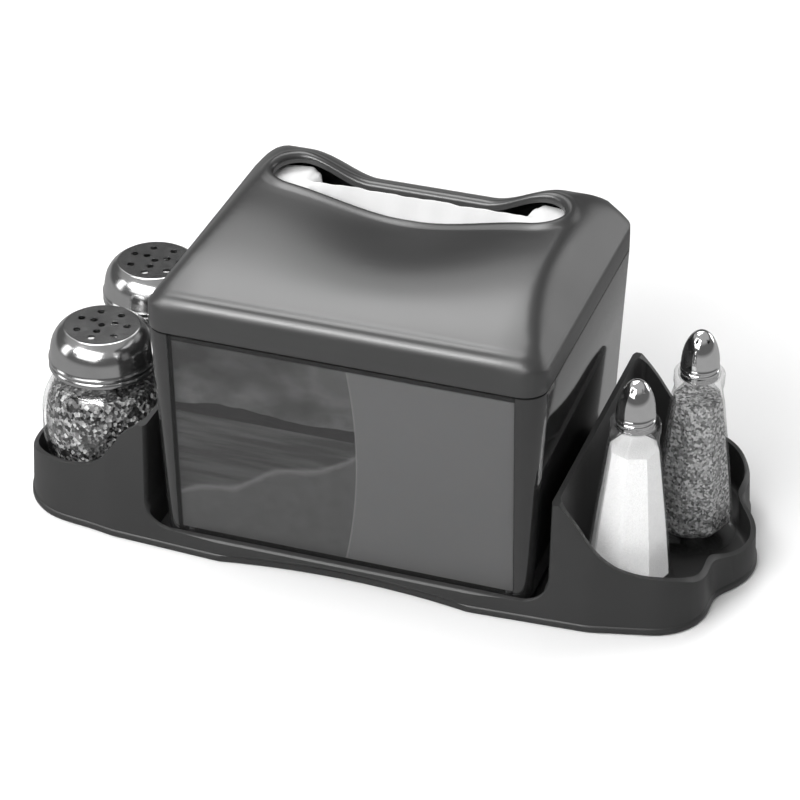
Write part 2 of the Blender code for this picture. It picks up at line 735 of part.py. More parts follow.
def slot_outline(inset, count):
    """The slot's rounded ends and straight sides, walked like the cover's outline."""
    radius = SLOT_WIDE / 2 - inset
    straight = SLOT_LONG / 2 - SLOT_WIDE / 2
    turn = math.pi * radius
    whole = 4 * straight + 2 * turn
    points = []
    for k in range(count):
        s = (k / count) * whole
        quarter = turn / 2
        if s < quarter:
            a = s / radius
            points.append((straight + radius * math.cos(a), radius * math.sin(a)))
        elif s < quarter + 2 * straight:
            points.append((straight - (s - quarter), radius))
        elif s < quarter + 2 * straight + turn:
            a = math.pi / 2 + (s - quarter - 2 * straight) / radius
            points.append((-straight + radius * math.cos(a), radius * math.sin(a)))
        elif s < quarter + 4 * straight + turn:
            points.append((-straight + (s - quarter - 2 * straight - turn), -radius))
        else:
            a = 3 * math.pi / 2 + (s - quarter - 4 * straight - turn) / radius
            points.append((straight + radius * math.cos(a), radius * math.sin(a)))
    return [(x, y + SLOT_Y) for x, y in points]


def even_outline(points, count):
    """Spaces points evenly round a loop that starts where it crosses the right side's middle."""
    closed = points + points[:1]
    lengths = [math.dist(a, b) for a, b in zip(closed[:-1], closed[1:])]
    whole = sum(lengths)
    result = []
    for k in range(count):
        target = whole * k / count
        for (ax, ay), (bx, by), piece in zip(closed[:-1], closed[1:], lengths):
            if target <= piece:
                t = target / piece
                result.append((ax + (bx - ax) * t, ay + (by - ay) * t))
                break
            target -= piece
    return result


COVER_POINTS = 64


def cover_rim(count, inset):
    """The cover's outline starting level with the slot's middle on the right."""
    full = box_outline(inset, per_corner=9)
    start = (BOX_LONG / 2 - inset, SLOT_Y)
    return even_outline([start] + full, count)


def drawn_in(outer, inner, distance=0.0, share=None):
    """Moves each outer point towards its inner one, by a distance or by a share of the way."""
    points = []
    for (ax, ay), (bx, by) in zip(outer, inner):
        t = distance / math.dist((ax, ay), (bx, by)) if share is None else share
        points.append((ax + (bx - ax) * t, ay + (by - ay) * t))
    return points


def make_cover():
    low = SEAM_Z + SEAM_GAP / 2
    count = COVER_POINTS
    outer = cover_rim(count, 0.0)
    within = cover_rim(count, COVER_WALL)
    slot = slot_outline(0.0, count)
    rings = [ring(outer, low), ring(outer, SEAM_Z + SKIRT * 0.85)]
    for distance in (0.12, 0.7, 1.8, 3.6, 6.0, 9.0, 13.0):
        points = drawn_in(outer, slot, distance)
        rings.append(ring([(x, y, cover_height(x, y)) for x, y in points]))
    start = drawn_in(outer, slot, 13.0)
    bead = slot_outline(-BEAD_RUN, count)
    for share in (0.2, 0.45, 0.72, 1.0):
        points = drawn_in(start, bead, share=share)
        rings.append(ring([(x, y, cover_height(x, y)) for x, y in points]))
    for outside in (0.6, 0.3, 0.0):
        points = slot_outline(-BEAD_RUN * outside, count)
        rings.append(ring([(x, y, cover_height(x, y)) for x, y in points]))

    def roll(inset, drop):
        points = [
            (x, y, cover_height(rx, ry) - drop)
            for (x, y), (rx, ry) in zip(slot_outline(inset, count), slot)
        ]
        rings.append(ring(points))

    for angle in (35, 62, 90):
        turn = math.radians(angle)
        roll(SLOT_ROLL * math.sin(turn), SLOT_ROLL * (1 - math.cos(turn)))
    roll(SLOT_ROLL, SLOT_ROLL + SLOT_SKIRT)
    roll(SLOT_ROLL - COVER_WALL * 0.8, SLOT_ROLL + SLOT_SKIRT)
    roll(SLOT_ROLL - COVER_WALL * 0.8, SLOT_ROLL + 0.6)
    for share in (0.96, 0.7, 0.4, 0.12):
        points = drawn_in(start, slot, share=share)
        rings.append(ring([(x, y, cover_height(x, y) - COVER_WALL - 0.2) for x, y in points]))
    for distance in (6.0, 2.0, 0.0):
        points = drawn_in(within, slot, distance)
        rings.append(ring([(x, y, cover_height(x, y) - COVER_WALL - 0.2) for x, y in points]))
    rings.append(ring(within, low))
    return loft("cover", rings, COVER_PLASTIC, smooth=True, tube=True)


def make_hinge(shell, cover):
    """Five knuckles on one pin behind the seam: three belong to the body and two to the cover."""
    axis_y = BOX_DEEP / 2 + HINGE_OUT
    axis_z = SEAM_Z
    width = HINGE_SPAN / KNUCKLES
    for number in range(KNUCKLES):
        left = -HINGE_SPAN / 2 + number * width + FIT
        right = left + width - 2 * FIT
        on_body = number % 2 == 0
        knuckle = rod(f"cutter_knuckle_{number + 1}", HINGE_R, left, right, axis_y, axis_z, 16, cutter=True)
        wall_y = BOX_DEEP / 2
        if on_body:
            arm = box(f"cutter_arm_{number + 1}", (left, wall_y - 1.6, axis_z - 9.0), (right, axis_y, axis_z - 1.4), cutter=True)
            add(shell, arm, knuckle)
        else:
            arm = box(f"cutter_arm_{number + 1}", (left, wall_y - 1.6, axis_z + 1.4), (right, axis_y, axis_z + 4.5), cutter=True)
            add(cover, arm, knuckle)
    bore = rod("cutter_hinge_bore", PIN_R + 0.25, -HINGE_SPAN / 2 - 1, HINGE_SPAN / 2 + 1, axis_y, axis_z, 12, cutter=True)
    cut(shell, bore)
    cut(cover, bore)
    rod("hinge_pin", PIN_R, -HINGE_SPAN / 2 - 1.5, HINGE_SPAN / 2 + 1.5, axis_y, axis_z, 12, STEEL)
    cover_origin(cover, axis_y, axis_z)


def rod(name, radius, left, right, y, z, steps, look=None, cutter=False):
    rings = []
    for x in (left, right):
        points = []
        for k in range(steps):
            angle = 2 * math.pi * k / steps
            points.append((x, y + radius * math.cos(angle), z + radius * math.sin(angle)))
        rings.append(ring(points))
    return loft(name, rings, look, smooth=False, cutter=cutter)


def cover_origin(cover, axis_y, axis_z):
    """Puts the cover's origin on the hinge axis."""
    shift = Vector((0, axis_y, axis_z)) * mm
    for vert in cover.data.vertices:
        vert.co -= shift
    cover.location = shift


# ================================================================ jar shakers
def jar_profile():
    """(radius, height) of the jar's outside from the mouth down; heights from the jar's foot."""
    return (
        (JAR_NECK_R, JAR_TALL), (JAR_NECK_R, JAR_TALL - 12.0), (27.0, JAR_TALL - 15.5), (31.2, JAR_TALL - 24.0),
        (JAR_R, JAR_TALL - 34.0), (32.5, 30.0), (30.4, 18.0), (27.8, 7.0), (27.0, 2.5), (25.0, 0.0),
    )


def jar_radius(height):
    """Radius of the jar's outside at a height above its foot."""
    profile = jar_profile()
    for (ra, ha), (rb, hb) in zip(profile[:-1], profile[1:]):
        if height >= hb:
            return rb + (ra - rb) * (height - hb) / (ha - hb)
    return profile[-1][0]


def fluted(radius, height, steps, depth):
    fade = smooth_step(JAR_TALL - 14.0, JAR_TALL - 24.0 + 4.0, height) if height > JAR_TALL - 24 else 1.0
    fade *= smooth_step(0.0, 10.0, height)
    points = []
    for k in range(steps):
        angle = 2 * math.pi * k / steps
        wave = 0.5 + 0.5 * math.cos(JAR_FLUTES * angle)
        r = radius - depth * fade * wave
        points.append((r * math.cos(angle), r * math.sin(angle)))
    return points


def make_jar(where, y):
    foot = TRAY_FLOOR + FIT
    steps = JAR_FLUTES * 3
    rings = []
    for radius, height in reversed(jar_profile()):
        points = fluted(radius, height, steps, JAR_FLUTE)
        rings.append(ring([(JAR_X + px, y + py) for px, py in points], foot + height))
    for radius, height in jar_profile()[:-2]:
        inner = radius - JAR_WALL - JAR_FLUTE
        points = fluted(inner, height, steps, 0.0)
        rings.append(ring([(JAR_X + px, y + py) for px, py in points], foot + height))
    loft(f"jar_{where}", rings, GLASS, smooth=True)
    fill_top = JAR_TALL - 16.0
    shrink = JAR_WALL + JAR_FLUTE + 2 * FIT
    levels = [(r - shrink, h) for r, h in jar_profile()[:-2] if h < fill_top]
    floor = levels.pop()
    outline = [(0, foot + fill_top), (jar_radius(fill_top) - shrink, foot + fill_top)]
    outline += [(r, foot + h) for r, h in levels]
    outline += [(floor[0], foot + floor[1] + FIT), (0, foot + floor[1] + FIT)]
    turned(f"flakes_{where}", outline, 24, FLAKES, JAR_X, y)
    make_lid(where, y)


def make_lid(where, y):
    top = LID_TOP
    low = top - LID_TALL
    outer = [
        (0, top), (LID_DISC_R, top), (LID_DISC_R + 1.0, top - 0.5), (LID_R - 4.6, top - 3.0),
        (LID_R - 2.2, top - 7.0), (LID_R - 1.0, top - 12.0), (LID_R - 0.8, top - 15.0), (LID_R, top - 16.2),
        (LID_R, top - 17.4), (LID_R - 0.8, top - 18.4), (LID_R, top - 19.6), (LID_R, low),
    ]
    inner = [
        (JAR_NECK_R + 2 * FIT, low), (JAR_NECK_R + 2 * FIT, top - 12.0), (LID_R - 3.2, top - 7.4),
        (LID_R - 5.2, top - 3.8), (LID_DISC_R, top - LID_WALL - 0.4), (0, top - LID_WALL),
    ]
    lid = turned(f"jar_lid_{where}", outer + inner, 30, STEEL, JAR_X, y)
    places = [(0.0, 0.0)]
    places += [(6.4, math.radians(30 + 120 * k)) for k in range(3)]
    places += [(12.6, math.radians(12 + 51.43 * k)) for k in range(7)]
    for number, (radius, angle) in enumerate(places, 1):
        hx = JAR_X + radius * math.cos(angle)
        hy = y + radius * math.sin(angle)
        hole = turned(
            f"cutter_lid_{where}_{number}",
            [(0, top + 1), (HOLE_R, top + 1), (HOLE_R, top - 2.5), (0, top - 2.5)],
            8, cutter=True, x=hx, y=hy,
        )
        cut(lid, hole)


# ================================================================ tower shakers
def tower_ring(radius, height, x, y, roundness):
    """A ring that goes from eight flats to round."""
    steps = TOWER_SIDES * 3
    points = []
    for k in range(steps):
        angle = 2 * math.pi * k / steps
        within = (angle % (2 * math.pi / TOWER_SIDES)) - math.pi / TOWER_SIDES
        flat = math.cos(math.pi / TOWER_SIDES) / math.cos(within)
        r = radius * (flat + (1 - flat) * roundness)
        points.append((x + r * math.cos(angle), y + r * math.sin(angle)))
    return ring(points, height)


def make_tower(what, x, y):
    foot = TRAY_FLOOR + FIT
    outside = (
        (TOWER_BASE_R - 2.0, 0.0, 1.0), (TOWER_BASE_R, 2.0, 1.0), (TOWER_BASE_R, 5.0, 0.8),
        (TOWER_BASE_R - 1.6, 10.0, 0.0), (18.0, 40.0, 0.0), (13.2, 79.0, 0.0), (11.9, 85.0, 0.6),
        (TOWER_COLLAR_R, 88.0, 1.0), (TOWER_COLLAR_R, TOWER_COLLAR - 1.0, 1.0),
        (TOWER_COLLAR_R - 0.6, TOWER_COLLAR, 1.0), (CAP_R + 1.0, TOWER_COLLAR, 1.0),
        (CAP_R + 0.6, TOWER_COLLAR - GROOVE, 1.0), (TOWER_NECK_R, TOWER_COLLAR - GROOVE, 1.0),
        (TOWER_NECK_R, TOWER_GLASS, 1.0),
    )
    inside = (
        (TOWER_NECK_R - TOWER_WALL, TOWER_GLASS, 1.0), (TOWER_NECK_R - TOWER_WALL, 87.0, 1.0),
        (13.2 - TOWER_WALL - 0.8, 79.0, 0.0), (18.0 - TOWER_WALL, 40.0, 0.0),
        (TOWER_BASE_R - 1.6 - TOWER_WALL - 0.6, TOWER_FOOT + 3.0, 0.0), (14.0, TOWER_FOOT, 0.4),
    )
    rings = [tower_ring(r, foot + h, x, y, soft) for r, h, soft in outside + inside]
    loft(f"{what}_bottle", rings, GLASS, smooth=False)
    gap = FIT
    fill = (
        (14.0 - gap - 0.3, TOWER_FOOT + gap, 0.4),
        (TOWER_BASE_R - 1.6 - TOWER_WALL - 0.6 - gap, TOWER_FOOT + 3.4, 0.0),
        (18.0 - TOWER_WALL - gap, 40.0, 0.0), (13.2 - TOWER_WALL - 0.8 - gap, 79.0, 0.0),
    )
    look = SALT if what == "salt" else PEPPER
    loft(f"{what}_fill", [tower_ring(r, foot + h, x, y, soft) for r, h, soft in fill], look, smooth=False)
    make_cap(what, x, y)


def make_cap(what, x, y):
    top = TRAY_FLOOR + TOWER_TALL
    glass_top = TRAY_FLOOR + FIT + TOWER_GLASS
    low = TRAY_FLOOR + FIT + TOWER_COLLAR - GROOVE + FIT
    outer = [
        (0, top), (1.8, top - 0.3), (3.6, top - 1.2), (5.5, top - 3.2), (7.4, top - 6.8), (8.6, top - 10.7),
        (CAP_R - 0.1, top - 14.6), (CAP_R, top - 17.0), (CAP_R - 0.4, top - 17.6), (CAP_R + 0.2, top - 18.3),
        (CAP_R + 0.2, top - 19.3), (CAP_R - 0.4, top - 19.9), (CAP_R + 0.2, top - 20.6),
        (CAP_R + 0.2, top - 21.6), (CAP_R - 0.2, top - 22.2), (CAP_R, low),
    ]
    thread = CAP_R - CAP_WALL
    inner = [
        (thread, low), (thread, glass_top + FIT), (7.6, glass_top + 3.4), (6.6, top - 8.6),
        (4.6, top - 4.6), (0, top - 2.0),
    ]
    cap = turned(f"{what}_cap", outer + inner, 20, CHROME, x, y)
    for number in range(6):
        angle = math.radians(60 * number + 20)
        tilt_x = x + 5.2 * math.cos(angle)
        tilt_y = y + 5.2 * math.sin(angle)
        hole = turned(
            f"cutter_{what}_hole_{number + 1}",
            [(0, top + 1), (0.8, top + 1), (0.8, top - 9), (0, top - 9)],
            8, cutter=True, x=tilt_x, y=tilt_y,
        )
        cut(cap, hole)


# ================================================================ the whole thing
make_caddy()
make_caddy_feet()
body = make_body()
make_base()
make_card()
make_follower()
make_spring()
make_napkins()
lid_shell = make_cover()
make_hinge(body, lid_shell)
make_jar("front", -JAR_Y)
make_jar("rear", JAR_Y)
for what, x, y in TOWER_PLACES:
    make_tower(what, x, y)
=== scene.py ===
import math
import random

import bmesh
import bpy
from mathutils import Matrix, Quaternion, Vector


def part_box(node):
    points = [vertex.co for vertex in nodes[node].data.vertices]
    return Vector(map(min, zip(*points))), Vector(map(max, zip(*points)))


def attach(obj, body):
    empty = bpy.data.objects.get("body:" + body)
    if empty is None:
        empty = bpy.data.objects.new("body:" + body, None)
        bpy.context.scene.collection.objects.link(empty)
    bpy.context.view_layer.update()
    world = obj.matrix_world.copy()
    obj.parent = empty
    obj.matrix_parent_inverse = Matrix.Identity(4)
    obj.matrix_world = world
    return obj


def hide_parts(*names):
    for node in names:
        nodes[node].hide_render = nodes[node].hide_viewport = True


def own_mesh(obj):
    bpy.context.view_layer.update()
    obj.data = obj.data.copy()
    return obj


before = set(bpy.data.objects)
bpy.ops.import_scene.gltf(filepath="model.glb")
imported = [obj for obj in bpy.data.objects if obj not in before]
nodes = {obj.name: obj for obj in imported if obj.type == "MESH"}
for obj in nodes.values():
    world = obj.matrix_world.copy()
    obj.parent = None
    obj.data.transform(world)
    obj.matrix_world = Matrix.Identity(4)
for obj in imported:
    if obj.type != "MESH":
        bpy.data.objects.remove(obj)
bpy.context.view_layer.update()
mm = 0.001

# ---------------------------------------------------------------- studio
# The camera, a plain pale floor, and the soft boxes of a product table. The surround is pale
# overhead and underfoot and darker between, with a dim patch behind for glossy tops to meet.
LENS, SENSOR = 141.05, 36.0
CAMERA_PLACE = (0.42756, -1.23070, 0.89295)
CAMERA_TILT, CAMERA_TURN = math.radians(57.402), math.radians(19.031)
TABLE_MIDDLE = (0.0, 0.0, 0.10)
SOFT_BOXES = (                  # name, place, width, height, power
    ("box_overhead", (-0.40, 0.34, 1.50), 1.1, 0.62, 11.5),
    ("box_back_top", (-0.45, 1.02, 1.20), 1.3, 0.40, 2.8),
    ("box_front", (-0.44, -1.30, 0.85), 1.2, 0.6, 5.0),
    ("box_front_top", (-0.44, -1.02, 1.17), 1.5, 0.62, 13.0),
    ("box_front_strip", (-0.44, -1.14, 0.98), 1.5, 0.22, 9.0),
    ("box_back_right", (1.10, 1.45, 0.34), 0.9, 0.5, 4.2),
    ("box_left", (-1.7, -0.6, 0.7), 0.5, 1.0, 3.5),
)
SURROUND_BANDS = ((0.46, 0.40), (0.54, 0.13), (0.72, 0.13), (0.80, 0.42))
DIM_PATCH, DIM_FROM, DIM_FULL, DIM_STRENGTH = (-0.277, 0.797, 0.538), 0.90, 0.965, 0.35
FLOOR_SIZE = 6.0

camera = bpy.data.cameras.new("camera")
camera.lens, camera.sensor_width = LENS, SENSOR
camera_object = bpy.data.objects.new("camera", camera)
camera_object.location = CAMERA_PLACE
camera_object.rotation_euler = (CAMERA_TILT, 0.0, CAMERA_TURN)
bpy.context.scene.collection.objects.link(camera_object)
bpy.context.scene.camera = camera_object
bpy.context.scene.view_settings.view_transform = "Standard"

for name, place, wide, tall, power in SOFT_BOXES:
    light = bpy.data.lights.new(name, "AREA")
    light.shape = "RECTANGLE"
    light.size, light.size_y = wide, tall
    light.energy = power
    lamp = bpy.data.objects.new(name, light)
    lamp.location = place
    aim = Vector(TABLE_MIDDLE) - Vector(place)
    lamp.rotation_euler = aim.to_track_quat("-Z", "Y").to_euler()
    bpy.context.scene.collection.objects.link(lamp)


class Value:
    """A shader socket that takes part in ordinary arithmetic."""

    def __init__(self, look, socket):
        self.look = look
        self.socket = socket

    def __add__(self, other):
        return self.look.maths("ADD", self, other)

    def __sub__(self, other):
        return self.look.maths("SUBTRACT", self, other)

    def __rsub__(self, other):
        return self.look.maths("SUBTRACT", other, self)

    def __mul__(self, other):
        return self.look.maths("MULTIPLY", self, other)

    def __truediv__(self, other):
        return self.look.maths("DIVIDE", self, other)

    def __pow__(self, other):
        return self.look.maths("POWER", self, other)

    def __gt__(self, other):
        return self.look.maths("GREATER_THAN", self, other)

    def __lt__(self, other):
        return self.look.maths("LESS_THAN", self, other)

    __radd__ = __add__
    __rmul__ = __mul__


class Look:
    """One procedural finish, or the surround: its shader, and the nodes that feed it."""

    def __init__(self, name, kind="materials", shader="Principled BSDF", spot="Object", **settings):
        self.owner = getattr(bpy.data, kind).new(name)
        self.owner.use_nodes = True
        self.tree = self.owner.node_tree
        self.shader = self.tree.nodes[shader]
        for title, value in settings.items():
            self.feed(self.shader.inputs[title.replace("_", " ")], value)
        self.place = self.node("ShaderNodeTexCoord", {}, {}, spot)

    def feed(self, socket, value):
        if isinstance(value, Value):
            self.tree.links.new(value.socket, socket)
        elif socket.type == "RGBA" and not isinstance(value, (int, float)):
            socket.default_value = (*value, 1.0)
        elif socket.type == "RGBA":
            socket.default_value = (value, value, value, 1.0)
        else:
            socket.default_value = value

    def node(self, kind, settings, values, out=0):
        made = self.tree.nodes.new(kind)
        stops = settings.pop("stops", None)
        for title, value in settings.items():
            setattr(made, title, value)
        if stops:
            ramp = made.color_ramp
            while len(ramp.elements) < len(stops):
                ramp.elements.new(0.5)
            for element, (at, tone) in zip(ramp.elements, stops):
                element.position = at
                element.color = (tone, tone, tone, 1.0)
        for title, value in values.items():
            self.feed(made.inputs[title], value)
        return Value(self, made.outputs[out])

    def maths(self, operation, first, second=0.0):
        return self.node("ShaderNodeMath", {"operation": operation}, {0: first, 1: second})

    def clamp(self, value):
        return self.node("ShaderNodeClamp", {}, {"Value": value})

    def mix(self, share, first, second):
        """From the first colour to the second, by a share."""
        return self.node("ShaderNodeMix", {"data_type": "RGBA"}, {0: share, 6: first, 7: second}, 2)

    def ramp(self, value, *stops):
        return self.node("ShaderNodeValToRGB", {"stops": stops}, {"Fac": value})

    def noise(self, scale, detail=3.0, stretch=(1, 1, 1), rough=0.5):
        spread = self.node("ShaderNodeMapping", {}, {"Vector": self.place, "Scale": stretch})
        values = {"Vector": spread, "Scale": scale, "Detail": detail, "Roughness": rough}
        return self.node("ShaderNodeTexNoise", {}, values)

    def cells(self, scale, out="Distance"):
        return self.node("ShaderNodeTexVoronoi", {}, {"Vector": self.place, "Scale": scale}, out)

    def axes(self):
        """The place's three numbers, in metres."""
        split = self.node("ShaderNodeSeparateXYZ", {}, {"Vector": self.place})
        return [Value(self, socket) for socket in split.socket.node.outputs]

    def step(self, value, low, high):
        values = {"Value": value, "From Min": low, "From Max": high}
        return self.node("ShaderNodeMapRange", {"interpolation_type": "SMOOTHSTEP"}, values)

    def surface(self, colour, roughness, height=None, strength=0.3, distance=0.0003, alpha=None):
        self.feed(self.shader.inputs["Base Color"], colour)
        self.feed(self.shader.inputs["Roughness"], roughness)
        if height is not None:
            values = {"Height": height, "Strength": strength, "Distance": distance}
            self.feed(self.shader.inputs["Normal"], self.node("ShaderNodeBump", {}, values))
        if alpha is not None:
            self.feed(self.shader.inputs["Alpha"], alpha)


surround = Look("surround", "worlds", "Background", "Generated")
way = surround.axes()
toward_patch = surround.node(
    "ShaderNodeVectorMath", {"operation": "DOT_PRODUCT"}, {0: surround.place, 1: DIM_PATCH}, "Value"
)
dimming = surround.node("ShaderNodeMapRange", {}, {
    "Value": toward_patch, "From Min": DIM_FROM, "From Max": DIM_FULL,
    "To Min": 1.0, "To Max": DIM_STRENGTH,
})
surround.feed(surround.shader.inputs["Strength"], dimming)
surround.feed(surround.shader.inputs["Color"], surround.ramp(way[2] * 0.5 + 0.5, *SURROUND_BANDS))
bpy.context.scene.world = surround.owner

floor_look = Look("floor_paper", Specular_IOR_Level=0.0)
floor_grain = floor_look.noise(900.0, 2.0)
floor_look.surface(floor_look.mix(floor_grain, 0.93, 0.95), 0.95 - 0.05 * floor_grain)
floor_sheet = bmesh.new()
bmesh.ops.create_grid(floor_sheet, x_segments=2, y_segments=2, size=FLOOR_SIZE)


def placed(name, shape):
    """An object in the scene, made from a shape that isn't needed again."""
    mesh = bpy.data.meshes.new(name)
    shape.to_mesh(mesh)
    shape.free()
    obj = bpy.data.objects.new(name, mesh)
    bpy.context.scene.collection.objects.link(obj)
    return obj


floor = placed("studio_floor", floor_sheet)
floor.data.materials.append(floor_look.owner)
floor.visible_glossy = False

# ---------------------------------------------------------------- caddy tray
# One moulding of satin black plastic on a small stepped plinth. Scalloped pockets hold the
# shakers, two tall dividers stand beside the dispenser, and low lips close the bay between them.
DRAFT = math.radians(3.0)
FOOT_RISE, PLINTH_TOP, PLINTH_STEP = 0.8, 4.0, 0.8
TRAY_WALL, TRAY_FLOOR, TRAY_FLOOR_THICK, TRAY_DEEP = 2.5, 5.0, 2.4, 158.6
RIM_RADIUS, WAIST_DEPTH, WAIST_HALF, WAIST_TOP = 29.0, 6.0, 65.0, 9.5
SIDE_LOBE_X, SIDE_LOBE_Y, SIDE_LOBE_R = 143.5, 34.0, 36.0
END_LOBE_X, END_LOBE_R = 150.6, 35.4
LOBE_BLEND, UNDERSIDE_IN = 6.0, 7.0
DIVIDER_X, DIVIDER_TOP, DIVIDER_LEAN, LIP_TOP, LIP_IN = 102.2, 67.5, 0.3, 12.5, 3.0
MOUTH_RADIUS, ROLL_SIDE, ROLL_LIP, POCKET_CORNER = 14.0, 5.5, 1.6, 7.0
BACK_LOWER, POCKET_MIDDLE_X, BAY_GAP = 2.0, 138.0, 1.6
POCKET_LEVELS = ((5.0, 3.0), (5.3, 1.8), (6.0, 0.9), (7.0, 0.3), (8.0, 0.0), (72.5, 0.0))
EDGE_SOFT, EDGE_SHARP, EDGE_FROM_Z = 0.55, math.radians(38), 4.6
MERGE, MERGE_CARVED, LEVEL = 2e-6, 2e-5, 0.9999
# How far the top edge has fallen below the dividers, by distance from the middle.
FALL_RIGHT = (
    (106.2, 0.0), (109.0, 2.9), (112.0, 6.3), (116.0, 11.4), (120.0, 17.4), (124.0, 22.8),
    (128.0, 27.0), (135.0, 31.9), (145.0, 35.0), (155.0, 36.0), (163.0, 38.4), (169.0, 42.4),
    (173.0, 45.0), (177.0, 46.6), (183.0, 48.2), (192.0, 50.5),
)
FALL_LEFT = (
    (106.2, 0.0), (109.0, 2.3), (112.0, 4.4), (116.0, 8.6), (120.0, 14.7), (124.0, 20.5),
    (128.0, 25.3), (135.0, 30.0), (145.0, 32.5), (155.0, 33.4), (163.0, 34.6), (169.0, 36.6),
    (173.0, 39.2), (177.0, 41.4), (183.0, 44.5), (192.0, 48.0),
)
CORE_Y = TRAY_DEEP / 2 - RIM_RADIUS
CORE = [
    (WAIST_HALF, -CORE_Y), (118.0, -CORE_Y + 2.8), (144.2, -CORE_Y + 9.4),
    (144.2, CORE_Y - 9.4), (118.0, CORE_Y - 2.8), (WAIST_HALF, CORE_Y),
    (-WAIST_HALF, CORE_Y), (-118.0, CORE_Y - 2.8), (-145.0, CORE_Y - 8.0),
    (-145.0, -CORE_Y + 8.0), (-118.0, -CORE_Y + 2.8), (-WAIST_HALF, -CORE_Y),
]


def smooth_least(a, b, blend):
    """The smaller of two values, rounded over where they're close."""
    h = max(blend - abs(a - b), 0.0) / blend
    return min(a, b) - h * h * blend / 4


def smooth_step(low, high, value):
    t = min(max((value - low) / (high - low), 0.0), 1.0)
    return t * t * (3 - 2 * t)


def core_distance(x, y):
    """Distance from a point to the tray's core polygon, negative inside."""
    outside, nearest = -1e9, 1e9
    for (ax, ay), (bx, by) in zip(CORE, CORE[1:] + CORE[:1]):
        ex, ey = bx - ax, by - ay
        length = math.hypot(ex, ey)
        outside = max(outside, ((x - ax) * ey - (y - ay) * ex) / length)
        t = min(max(((x - ax) * ex + (y - ay) * ey) / length**2, 0.0), 1.0)
        nearest = min(nearest, math.hypot(x - ax - t * ex, y - ay - t * ey))
    return nearest if outside > 0 else -nearest


def tray_distance(x, y):
    """Distance outwards from the tray's edge at the foot."""
    result = core_distance(x, y) - RIM_RADIUS
    end_lobe = math.hypot(x - END_LOBE_X, y) - END_LOBE_R
    side_lobe = math.hypot(x + SIDE_LOBE_X, abs(y) - SIDE_LOBE_Y) - SIDE_LOBE_R
    return smooth_least(smooth_least(result, end_lobe, LOBE_BLEND), side_lobe, LOBE_BLEND)


def trace(distance, centre, targets):
    """Walks from the centre towards each target and stops where the distance turns positive."""
    points = []
    for tx, ty in targets:
        dx, dy = tx - centre[0], ty - centre[1]
        low, high = 0.0, 1.6
        for _ in range(24):
            middle = (low + high) / 2
            if distance(centre[0] + dx * middle, centre[1] + dy * middle) > 0:
                high = middle
            else:
                low = middle
        points.append((centre[0] + dx * low, centre[1] + dy * low))
    return points


def around(half_x, half_y, count_x, count_y):
    """Evenly spaced marks on a rectangle, to aim at."""
    marks = [(-half_x + 2 * half_x * k / count_x, -half_y) for k in range(count_x)]
    marks += [(half_x, -half_y + 2 * half_y * k / count_y) for k in range(count_y)]
    marks += [(half_x - 2 * half_x * k / count_x, half_y) for k in range(count_x)]
    marks += [(-half_x, half_y - 2 * half_y * k / count_y) for k in range(count_y)]
    return marks


def lean(z):
    """How far a tray wall has drawn in by this height."""
    return PLINTH_STEP + (z - PLINTH_TOP) * math.tan(DRAFT)


def ring(points, z=None):
    """Points in metres, from millimetres."""
    if z is None:
        return [Vector(point) * mm for point in points]
    return [Vector((x, y, z)) * mm for x, y in points]


def loft(rings, closed=False, shape=None):
    """Bridges rings of equally many points, and caps the ends or joins the last to the first."""
    shape = shape or bmesh.new()
    loops = []
    for points in rings:
        verts = [shape.verts.new(point) for point in points]
        edges = [shape.edges.new((a, b)) for a, b in zip(verts, verts[1:] + verts[:1])]
        loops.append((verts, edges))
    pairs = list(zip(loops, loops[1:]))
    if closed:
        pairs.append((loops[-1], loops[0]))
    for (_, first), (_, second) in pairs:
        bmesh.ops.bridge_loops(shape, edges=first + second)
    if not closed:
        for _, edges in (loops[0], loops[-1]):
            bmesh.ops.contextual_create(shape, geom=edges)
    return shape


def cleaned(shape):
    """The shape with its doubled points merged and its faces turned outwards."""
    bmesh.ops.remove_doubles(shape, verts=shape.verts, dist=MERGE)
    bmesh.ops.recalc_face_normals(shape, faces=shape.faces)
    return shape


def softened(shape, edges, width):
    """Rounds these edges off by a width in millimetres."""
    bmesh.ops.bevel(
        shape, geom=edges, offset=width * mm, offset_type="OFFSET", segments=2, profile=0.5,
        affect="EDGES", clamp_overlap=True, material=-1,
    )


def smooth_over(shape, angle):
    """Smooth faces with a crease wherever two meet at more than the angle. Level ones stay flat."""
    for face in shape.faces:
        face.smooth = abs(face.normal.z) < LEVEL
    for edge in shape.edges:
        edge.smooth = len(edge.link_faces) == 2 and edge.calc_face_angle(0.0) < math.radians(angle)


def piece(name, shape, look, body, replaced, angle=32.0, clean=True):
    """Turns a shape into a finished piece that rides on its body, in place of its CAD nodes."""
    if clean:
        cleaned(shape)
    smooth_over(shape, angle)
    obj = placed(name, shape)
    obj.data.materials.append(look.owner)
    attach(obj, body)
    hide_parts(*replaced)
    return obj


def scratch_object(shape):
    """A helper for a Boolean, removed once it has been used."""
    bmesh.ops.recalc_face_normals(shape, faces=shape.faces)
    return placed("cutter", shape)


def carved(shape, *cutters):
    """The shape with each cutter taken out of it, as a new bmesh."""
    base = scratch_object(shape)
    helpers = [scratch_object(cutter) for cutter in cutters]
    for helper in helpers:
        change = base.modifiers.new("carve", "BOOLEAN")
        change.operation, change.solver, change.object = "DIFFERENCE", "EXACT", helper
    graph = bpy.context.evaluated_depsgraph_get()
    result = bmesh.new()
    result.from_object(base, graph)
    for obj in [base] + helpers:
        mesh = obj.data
        bpy.data.objects.remove(obj)
        bpy.data.meshes.remove(mesh)
    return result


